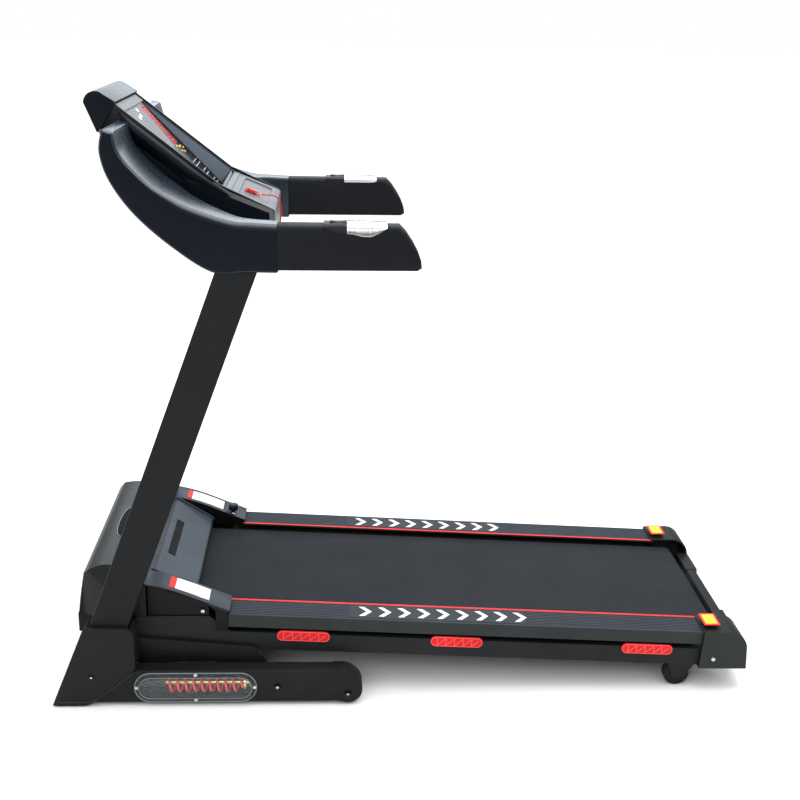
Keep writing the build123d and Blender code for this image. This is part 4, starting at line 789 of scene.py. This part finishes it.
def make_trim():
    """Walls of the display's recess, silver bands down the tray's sides, and the bead round the face, whose
    pale silver is partly a painted highlight along the rim.
    """
    wall_outline = [(0.010, 0.0012), (0.2605, 0.0012), (0.2605, 0.0375), (0.010, 0.0022)]
    walls = bmesh.new()
    for y in (0.1383, -0.1389):
        place = console_matrix() @ Matrix.Translation((0, y, 0)) @ Matrix.Rotation(-math.pi / 2, 4, "X")
        prism(wall_outline, 0.0006, place, walls)
    make_piece("display_walls", walls, "base", "console_panel",
               moulded("wall_blue_grey", (0.16, 0.20, 0.245), 0.3, 900.0, 0.00001, coat=0.05))
    bands = bmesh.new()
    outline = [(-0.434, 1.1485), (-0.398, 1.1260), (-0.3068, 1.0895), (-0.3052, 1.004), (-0.3125, 1.004),
               (-0.3150, 1.0830), (-0.400, 1.1160), (-0.430, 1.1395)]
    for side in (-1, 1):
        side_slab(outline, side * 0.1503, 0.0008, bands)
    make_piece("tray_side_bands", bands, "base", "tray_plastic")
    loop = [console_matrix(0.0004) @ Vector((x, y, 0))
            for x, y in rounded_box(0.276, 0.2925, 0.006, centre=(0.1345, 0))]
    # Partly painted highlight: the bead's pale tone along the face's rim, on a partly metallic finish
    make_piece("console_bead", tube_along(bmesh.new(), loop, 0.0013, 8, closed=True), "base", "tray_plastic",
               moulded("bead_silver_painted_highlight", (0.2, 0.21, 0.23), 0.3, metallic=0.3))


# Spring clip: the middle of its length and its width on the tray, and half its length
CLIP_X, CLIP_Y, CLIP_HALF = 0.043, -0.030, 0.017
CLIP_WIDE, RING_RADIUS = 0.0074, 0.0030


def clip_loop(t, base, top):
    """Cross-section of a jaw at t from 0 to 1 along it: swells, then narrows towards the ring."""
    fat = min(1.0, 0.18 + math.sin(math.pi * min(1.0, t * 1.15 + 0.02)) ** 0.5)
    wide = CLIP_WIDE * fat * (1.0 if t < 0.72 else 1.0 - 0.55 * (t - 0.72) / 0.28)
    high = base + (top - base) * (0.35 + 0.65 * fat)
    x = CLIP_X - CLIP_HALF + 2 * CLIP_HALF * t
    middle, half = 0.5 * (base + high), 0.5 * (high - base)
    return [tray_matrix() @ Vector((x, CLIP_Y + wide * math.cos(angle), middle + half * math.sin(angle)))
            for angle in angles(16)]


def make_clip():
    """Spring clip: two rounded jaws with ribs and a pivot bar, and the ring that holds the cord."""
    jaws = bmesh.new()
    for base, top in ((-0.0036, 0.0004), (0.0010, 0.0052)):
        add_skin(jaws, [clip_loop(i / 24, base, top) for i in range(25)])
    for i in range(5):
        x = CLIP_X - 0.009 + 0.0035 * i
        rib = [tray_matrix(0.0050) @ Vector((x, CLIP_Y + dy, -0.12 * abs(dy)))
               for dy in (-0.0052, 0.0, 0.0052)]
        tube_along(jaws, rib, 0.0007, 6)
    pivot = [tray_matrix(0.0007) @ Vector((CLIP_X + 0.002, CLIP_Y + dy, 0)) for dy in (-0.0070, 0.0, 0.0070)]
    tube_along(jaws, pivot, 0.0016, 10)
    jaws_piece = make_piece("clip_jaws", jaws, "safety_key", "key_red", smooth=40)
    centre = tray_matrix(0.0008) @ Vector((CLIP_X + 0.0175, CLIP_Y, 0))
    loop = [centre + point for point in circle(RING_RADIUS, 0.0002, 20)]
    ring = tube_along(bmesh.new(), loop, 0.0009, 8, closed=True)
    ring_piece = make_piece("clip_ring", ring, "safety_key", "key_red",
                            turned_metal("brass_ring", (0.85, 0.55, 0.12), 0.25))
    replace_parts(jaws_piece, "safety_clip")
    return [jaws_piece, ring_piece]


# Cross-section of a shoulder in y and height over the face, starting at the console's side
FLANK_SIDE, FLANK_TOP = 0.1502, 0.0008
FLANK_SECTION = [(0.1502, 0.0008), (0.157, -0.0006), (0.164, -0.004), (0.1675, -0.009), (0.168, -0.015),
                 (0.164, -0.024), (0.1502, -0.034)]
FLANK_START, FLANK_LENGTH = 0.004, 0.286


def make_flanks():
    """Rounded shoulders between the console's sides and the arms, which run out at both ends."""
    bm = bmesh.new()
    for side in (-1, 1):
        loops = []
        for i in range(17):
            t = i / 16
            grow = min(1.0, 6.0 * t + 0.15, 3.0 * (1 - t) + 0.05)
            x = FLANK_START + FLANK_LENGTH * t
            loops.append([console_matrix() @ Vector((x, side * (FLANK_SIDE + (y - FLANK_SIDE) * grow),
                                                     (height - FLANK_TOP) * grow))
                          for y, height in FLANK_SECTION])
        add_skin(bm, loops)
    make_piece("console_flanks", bm, "base", "arm_plastic", smooth=60)


# ---- Base tubes ----
WINDOW_X, WINDOW_Z = -0.478, 0.047
SPRING_TURNS, SPRING_START, SPRING_END = 9.5, -0.5445, -0.3745
SPRING_Y, SPRING_Z, SPRING_WIRE = 0.3358, 0.0430, 0.0029
SPRING_HALF_Y, SPRING_HALF_Z = 0.0147, 0.0165
LINING_Y, LINING_THICK = 0.3184, 0.0006


def make_springs():
    """Coil springs round the damper rods, and a grey lining behind them that shows them up."""
    coils, linings = bmesh.new(), bmesh.new()
    steps = int(SPRING_TURNS * 20)
    for side in (-1, 1):
        line = []
        for i in range(steps + 1):
            t = i / steps
            angle = 2 * math.pi * SPRING_TURNS * t
            line.append((SPRING_START + (SPRING_END - SPRING_START) * t,
                         side * SPRING_Y + SPRING_HALF_Y * math.cos(angle),
                         SPRING_Z + SPRING_HALF_Z * math.sin(angle)))
        tube_along(coils, line, SPRING_WIRE, 10)
        lining = rounded_box(0.250, 0.064, 0.010, 4, (WINDOW_X, WINDOW_Z))
        side_slab(lining, side * LINING_Y, LINING_THICK, linings)
    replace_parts(make_piece("spring_coils", coils, "base", "spring_red", smooth=60), "coil_springs")
    make_piece("window_linings", linings, "base", "frame_paint",
               moulded("lining_grey", (0.028, 0.032, 0.031), 0.5, 500.0, 0.00005))


def make_window_rims():
    """Rounded edges of the two clear windows, painted pale as a highlight along them."""
    bm = bmesh.new()
    for side in (-1, 1):
        for length, height, out, radius in ((0.272, 0.072, 0.3572, 0.0012), (0.252, 0.052, 0.3612, 0.0009)):
            outline = rounded_box(length, height, height / 2 - 0.0002, 10, (WINDOW_X, WINDOW_Z))
            tube_along(bm, [(x, side * out, z) for x, z in outline], radius, 8, closed=True)
    # Painted highlight: pale grey along the window rims
    make_piece("window_rims", bm, "base", "clear_window",
               moulded("window_edge_painted_highlight", (0.16, 0.175, 0.18), 0.25, 500.0, 0.00003, coat=0.4))


# ---- Deck details ----
# Red cushions: the middle of each, their height below the rail tops, size, back face and thickness
CUSHION_MIDDLES = (-0.2365, 0.116, 0.563)
CUSHION_Z = -0.0475
CUSHION_LONG, CUSHION_TALL = 0.121, 0.0252
CUSHION_BACK, CUSHION_THICK = 0.2902, 0.0035
# Saw-tooth ribs: where they start, their pitch, half their height, and their radius
RIB_START, RIB_PITCH, RIB_HALF, RIB_RADIUS = -0.045, 0.020, 0.009, 0.0009


def cushion_loop(middle, inset, y):
    """Outline of one cushion at one y, drawn in by the inset."""
    length, height = CUSHION_LONG - 2 * inset, CUSHION_TALL - 2 * inset
    outline = rounded_box(length, height, height / 2 - 0.0002, 8, (middle, CUSHION_Z))
    return [deck_matrix() @ Vector((x, y, z)) for x, z in outline]


def add_ribs(bm, middle, face):
    """Five upright ribs on one cushion, each with a slanting one after it; the last is cut short."""
    for step in range(5):
        x = middle + RIB_START + RIB_PITCH * step
        reach = RIB_PITCH if step < 4 else 0.015
        for line in (((x, RIB_HALF), (x, -RIB_HALF)), ((x, -RIB_HALF), (x + reach, 0.9 * reach - RIB_HALF))):
            points = [deck_matrix() @ Vector((along, face, CUSHION_Z + height)) for along, height in line]
            tube_along(bm, points, RIB_RADIUS, 6)


def make_cushions():
    """Red cushions under the rails, each with a raised rim and saw-tooth ribs in a lighter red, a painted
    highlight on them.
    """
    cushions, ribs = bmesh.new(), bmesh.new()
    for side in (-1, 1):
        face = side * (CUSHION_BACK + CUSHION_THICK)
        for middle in CUSHION_MIDDLES:
            add_solid(cushions, [cushion_loop(middle, inset, side * (CUSHION_BACK + out))
                                 for inset, out in ((0.0, 0.0), (0.0, 0.0024), (0.0011, CUSHION_THICK))])
            tube_along(ribs, cushion_loop(middle, 0.0018, face), 0.0008, 6, closed=True)
            add_ribs(ribs, middle, face)
    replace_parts(make_piece("rail_cushions", cushions, "deck", "pad_red", smooth=40), "cushion_pads")
    # Painted highlight: a lighter red on the cushions' rims and ribs
    make_piece("cushion_ribs", ribs, "deck", "pad_red",
               moulded("rib_red_painted_highlight", (0.86, 0.10, 0.095), 0.4, 420.0, 0.00005))


RAIL_MIDDLE_Y = 0.2525
CHEVRON_PANEL = (0.412, 0.060, 0.007)
CHEVRON_FIRST, CHEVRON_PITCH, CHEVRON_HALF = -0.112, 0.0452, 0.0215


def make_chevrons():
    """Dark grip panels on the rails, with nine pale chevrons on each."""
    panels, marks = bmesh.new(), bmesh.new()
    for side in (-1, 1):
        y = side * RAIL_MIDDLE_Y
        prism(rounded_box(*CHEVRON_PANEL, 5, (0.071, y)), 0.0007, deck_matrix(), panels)
        for i in range(9):
            x = CHEVRON_FIRST + CHEVRON_PITCH * i
            outline = [(x, y + CHEVRON_HALF), (x + 0.0125, y + CHEVRON_HALF), (x + 0.0305, y),
                       (x + 0.0125, y - CHEVRON_HALF), (x, y - CHEVRON_HALF), (x + 0.018, y)]
            prism(outline, 0.0004, deck_matrix() @ Matrix.Translation((0, 0, 0.0007)), marks)
    make_piece("chevron_panels", panels, "deck", "rail_plastic",
               moulded("panel_grip", (0.03, 0.034, 0.039), 0.6, 500.0, 0.0003))
    make_piece("chevron_marks", marks, "deck", "rail_plastic",
               moulded("mark_white", (0.7, 0.71, 0.72), 0.55, 500.0, 0.0002, spread=0.06))


# Top of a wing in x and z
WING_TOP = [(-0.592, 0.269), (-0.557, 0.2615), (-0.520, 0.2500), (-0.491, 0.2389), (-0.462, 0.2265),
            (-0.433, 0.2147), (-0.405, 0.203)]
# Ends of each side's label, and where its red tab stops
LABEL_ENDS = {-1: (-0.541, -0.5275, -0.452), 1: (-0.556, -0.5445, -0.463)}
LABEL_INNER, LABEL_OUTER, LABEL_LIFT, LABEL_DEPTH = 0.226, 0.276, 0.0014, 0.002


def add_label(bm, side, x_from, x_to):
    """Thin blank label that follows the top of a wing."""
    loops = []
    for i in range(13):
        x = x_from + (x_to - x_from) * i / 12
        z = on_line(WING_TOP, x) + LABEL_LIFT
        section = ((LABEL_INNER, z - LABEL_DEPTH), (LABEL_INNER, z), (LABEL_OUTER, z),
                   (LABEL_OUTER, z - LABEL_DEPTH))
        loops.append([(x, side * y, height) for y, height in section])
    add_solid(bm, loops)


def make_labels():
    """Blank labels on the wings and blank stickers on the end caps, in place of printed ones."""
    white, red, borders, fields = (bmesh.new() for _ in range(4))
    place = tilted((0, 0, 0.1492), -0.012)
    for side in (-1, 1):
        start, split, end = LABEL_ENDS[side]
        add_label(red, side, start, split)
        add_label(white, side, split, end)
        middle = (0.7135, side * RAIL_MIDDLE_Y)
        prism(rounded_box(0.038, 0.056, 0.003, 4, middle), 0.0012, place, borders)
        prism(rounded_box(0.028, 0.044, 0.0015, 4, middle), 0.0004,
              place @ Matrix.Translation((0, 0, 0.0012)), fields)
    make_piece("wing_labels", white, "deck", "wing_plastic", PAPER)
    make_piece("wing_label_tabs", red, "deck", "wing_plastic", RED_INK)
    make_piece("cap_stickers", borders, "deck", "cover_plastic", RED_INK)
    make_piece("cap_sticker_fields", fields, "deck", "cover_plastic", YELLOW_INK)


# Arc of the hood's crown in x and z
HOOD_CENTRE, HOOD_RADIUS = (-0.6808, 0.1848), 0.1142
BADGE_X, BADGE_Y, BADGE_HALF_X, BADGE_HALF_Y = -0.675, -0.014, 0.0165, 0.086
BADGE_LIFT, BADGE_DEPTH, BADGE_STEPS = 0.0009, 0.0025, 72


def badge_loop(factor, lift):
    """Oval on the hood's crown, at a fraction of the badge's size."""
    loop = []
    for angle in angles(BADGE_STEPS):
        x = BADGE_X + factor * BADGE_HALF_X * math.cos(angle)
        crown = HOOD_CENTRE[1] + math.sqrt(HOOD_RADIUS ** 2 - (x - HOOD_CENTRE[0]) ** 2)
        loop.append(Vector((x, BADGE_Y + factor * BADGE_HALF_Y * math.sin(angle), crown + lift)))
    return loop


def make_badge():
    """Blank oval badge on the hood's crown, a pale rim round a dark field."""
    rim = tube_along(bmesh.new(), badge_loop(1.0, BADGE_LIFT), 0.0010, 8, closed=True)
    make_piece("badge_rim", rim, "deck", "hood_plastic",
               turned_metal("badge_rim", (0.3, 0.31, 0.33), 0.35, (1, 1, 1)))
    field = bmesh.new()
    levels = [(1.0, BADGE_LIFT - BADGE_DEPTH)]
    levels += [(factor, BADGE_LIFT + 0.0004 * (1 - factor)) for factor in (1.0, 0.75, 0.5, 0.25)]
    add_solid(field, [badge_loop(factor, lift) for factor, lift in levels])
    make_piece("badge_field", field, "deck", "hood_plastic",
               moulded("badge_black", (0.004, 0.004, 0.005), 0.5, depth=0.00001, specular=0.04))


KNOB_PLACE = Vector((-0.436, 0.233, 0.2205))
KNOB_LOBES, KNOB_LOBE_DEPTH = 6, 0.0019
# Radius and height of each ring of the grip, and how much of the lobes' depth it has
KNOB_RINGS = ((0.0075, 0.0, 0.0), (0.0075, 0.003, 0.0), (0.0120, 0.0048, 0.5), (0.0140, 0.0085, 1.0),
              (0.0142, 0.0140, 1.0), (0.0128, 0.0182, 1.0), (0.0090, 0.0205, 0.6), (0.004, 0.0200, 0.0))


def make_knob():
    """Grip of the fold latch: a lobed head on a collar."""
    rings = []
    for radius, height, lobes in KNOB_RINGS:
        ring = []
        for angle in angles(48):
            r = radius - KNOB_LOBE_DEPTH * lobes * (0.5 + 0.5 * math.cos(KNOB_LOBES * angle))
            ring.append(KNOB_PLACE + Vector((r * math.cos(angle), r * math.sin(angle), height)))
        rings.append(ring)
    piece = make_piece("latch_grip", add_skin(bmesh.new(), rings), "latch_knob", "knob_plastic", smooth=40)
    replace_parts(piece, "latch_knob")


# From a head's edge over its dome into its socket, as shares of its radius and height
SCREW_PROFILE = ((1, 0), (1, 0.35), (0.86, 0.8), (0.5625, 1), (0.45, 0.96), (0.405, 0.3))
SCREW_SIDES, SOCKET_FLOOR = 20, 0.25


def screw_head(bm, place, side, radius, height):
    """Domed head with a socket, facing outwards on one side."""
    turn = Vector((0, side, 0)).to_track_quat("Z", "Y").to_matrix().to_4x4()
    matrix = Matrix.Translation(place) @ turn
    rows = bridge(bm, [[matrix @ point for point in circle(radius * across, height * up, SCREW_SIDES)]
                       for across, up in SCREW_PROFILE])
    add_fan(bm, rows[-1], matrix @ Vector((0, 0, height * SOCKET_FLOOR)))


# Screw heads: x, distance from the middle, z, radius and height
WINDOW_SCREWS = [(WINDOW_X + dx, 0.357, WINDOW_Z + dz, 0.0042, 0.0026)
                 for dx, dz in ((-0.1315, 0), (0.1315, 0), (0, -0.0315), (0, 0.0315))]
DARK_SCREWS = [(-0.708, 0.360, 0.0750, 0.0060, 0.0032), (-0.295, 0.355, 0.046, 0.0078, 0.0052),
               (-0.136, 0.355, 0.027, 0.0078, 0.0052)]
DECK_SCREWS = [(-0.465, 0.290, 0.203, 0.0048, 0.0026), (0.717, 0.300, 0.080, 0.0052, 0.003)]


def make_screws():
    """Heads on the CAD screws."""
    black = turned_metal("black_oxide", (0.03, 0.03, 0.032), 0.3, (1, 1, 1))
    for name, body, screws, material in (("base_screw_heads", "base", WINDOW_SCREWS, MATERIALS["zinc"]),
                                         ("dark_screw_heads", "base", DARK_SCREWS, black),
                                         ("deck_screw_heads", "deck", DECK_SCREWS, MATERIALS["zinc"])):
        bm = bmesh.new()
        for side in (-1, 1):
            for x, y, z, radius, height in screws:
                screw_head(bm, (x, side * y, z), side, radius, height)
        make_piece(name, bm, body, "zinc", material, smooth=30)


# Ends of the hood's slope, half its width, and the slot in it: middle and half its size
SLOPE_KNEE, SLOPE_FOOT = Vector((-0.584, 0, 0.266)), Vector((-0.488, 0, 0.207))
SLOPE_HALF, SLOPE_THICK = 0.2105, 0.0011
SLOT_MIDDLE, SLOT_HALF_X, SLOT_HALF_Y = 0.0302, 0.0100, 0.0980


def make_slope():
    """Blue-grey panel on the hood's slope, painted lighter than the wings as light, with painted shade in its
    slot, and a rounded rim down each side.
    """
    fall = math.atan2(SLOPE_KNEE.z - SLOPE_FOOT.z, SLOPE_FOOT.x - SLOPE_KNEE.x)
    length = (SLOPE_FOOT - SLOPE_KNEE).length
    place = tilted(SLOPE_KNEE, fall)
    slot_from, slot_to = SLOT_MIDDLE - SLOT_HALF_X, SLOT_MIDDLE + SLOT_HALF_X
    panel = bmesh.new()
    for x_from, x_to, y_from, y_to in ((0.004, slot_from, -SLOPE_HALF, SLOPE_HALF),
                                       (slot_to, length - 0.004, -SLOPE_HALF, SLOPE_HALF),
                                       (slot_from, slot_to, -SLOPE_HALF, -SLOT_HALF_Y),
                                       (slot_from, slot_to, SLOT_HALF_Y, SLOPE_HALF)):
        prism([(x_from, y_from), (x_to, y_from), (x_to, y_to), (x_from, y_to)], SLOPE_THICK, place, panel)
    bmesh.ops.remove_doubles(panel, verts=panel.verts, dist=0.00001)
    # Painted light: the wing plastic's blue-grey made lighter on the upward slope
    make_piece("slope_panel", panel, "deck", "wing_plastic",
               moulded("slope_painted_light", (0.047, 0.058, 0.075), 0.36, 1100.0, 0.00004, coat=0.04))
    slot = rounded_box(2 * SLOT_HALF_X - 0.0005, 2 * SLOT_HALF_Y - 0.0005, 0.002, 5, (SLOT_MIDDLE, 0))
    make_piece("slope_recess", prism(slot, 0.0006, place @ Matrix.Translation((0, 0, -0.0010))),
               "deck", "hood_plastic", PAINTED_SHADE)
    rims = bmesh.new()
    for side in (-1, 1):
        line = [place @ Vector((x, side * SLOPE_HALF, z))
                for x, z in ((-0.004, 0.0), (0.004, 0.0025), (0.03, 0.003), (0.07, 0.003),
                             (length - 0.006, 0.0025), (length + 0.001, -0.001))]
        tube_along(rims, catmull(line, 5), 0.0034, 12)
    make_piece("slope_rims", rims, "deck", "wing_plastic")


COVER_FACE = 0.3600
CREASE_LINE = ((-0.6125, 0.088), (-0.660, 0.049), (-0.700, 0.0175), (-0.716, 0.0125), (-0.786, 0.0125))


def make_creases():
    """Moulded line round the toe of each base cover, painted lighter than the cover as a highlight."""
    bm = bmesh.new()
    for side in (-1, 1):
        tube_along(bm, [(x, side * COVER_FACE, z) for x, z in CREASE_LINE], 0.0010, 6)
    # Painted highlight: the crease's lighter grey
    make_piece("cover_creases", bm, "base", "cover_plastic",
               moulded("crease_edge", (0.03, 0.032, 0.032), 0.3, 800.0, 0.00002))


# CAD nodes shown with rounded edges, by the width of the rounding and its segments
SOFTENED = {
    (0.0008, 2): ("console_face", "speed_rocker", "incline_rocker"),
    (0.001, 2): ("transport_wheel_left", "transport_wheel_right", "window_covers"),
    (0.0012, 2): ("motor_pan", "lift_arm_left", "lift_arm_right", "front_feet"),
    (0.0015, 2): ("upright_left", "upright_right"),
    (0.0016, 3): ("safety_key",),
    (0.002, 2): ("base_tube_left", "base_tube_right", "console_shell"),
    (0.002, 3): ("console_tray",),
    (0.0025, 2): ("base_covers",),
}
# Side faces of nodes whose tops look different, most of them copies with light or shade painted on
# Painted shade: the hood's side faces, darker than its top where less light falls
HOOD_SIDE_PAINTED_SHADE = moulded("hood_side_painted_shade", (0.0052, 0.0064, 0.0060), 0.38, 1100.0, 0.00003)
# Painted shade: the wings' side faces, near-black where less light falls
WING_SIDE_PAINTED_SHADE = moulded("wing_side_painted_shade", (0.0036, 0.004, 0.0035), 0.36, 900.0, 0.00005)
# Painted light: the end caps' side faces, lighter than their tops
CAP_SIDE_PAINTED_LIGHT = moulded("cap_side_painted_light", (0.021, 0.0245, 0.0208), 0.48, 800.0, 0.00009)
# Painted light: the deck tubes' side faces, lighter than the plain frame paint
DECK_TUBE_SIDE_PAINTED_LIGHT = moulded("deck_tube_side_painted_light", (0.0105, 0.0118, 0.0132), 0.5, 1400.0, 0.00008)
RAIL_SIDE = moulded("rail_side", (0.0225, 0.0262, 0.0268), 0.46, 650.0, 0.00010)

for (width, segments), nodes in SOFTENED.items():
    for node in nodes:
        soften(node, width, segments)
soften("motor_hood", 0.004, 3, HOOD_SIDE_PAINTED_SHADE)
soften("console_hood", 0.003, 3, MATERIALS["arm_plastic"])
soften("wings", 0.0018, 2, WING_SIDE_PAINTED_SHADE)
soften("end_caps", 0.0035, 3, CAP_SIDE_PAINTED_LIGHT)
for word, side in (("left", -1), ("right", 1)):
    soften("deck_tube_" + word, 0.0012, 2, DECK_TUBE_SIDE_PAINTED_LIGHT)
    soften("side_rail_" + word, 0.0003, 1, RAIL_SIDE)
    make_arm(word, side)
make_handles()
make_pulse_pads()
make_plates()
make_display_marks()
make_trim()
make_flanks()
make_window_rims()
make_springs()
make_cord(make_clip())
make_cushions()
make_chevrons()
make_labels()
make_badge()
make_knob()
make_screws()
make_slope()
make_creases()
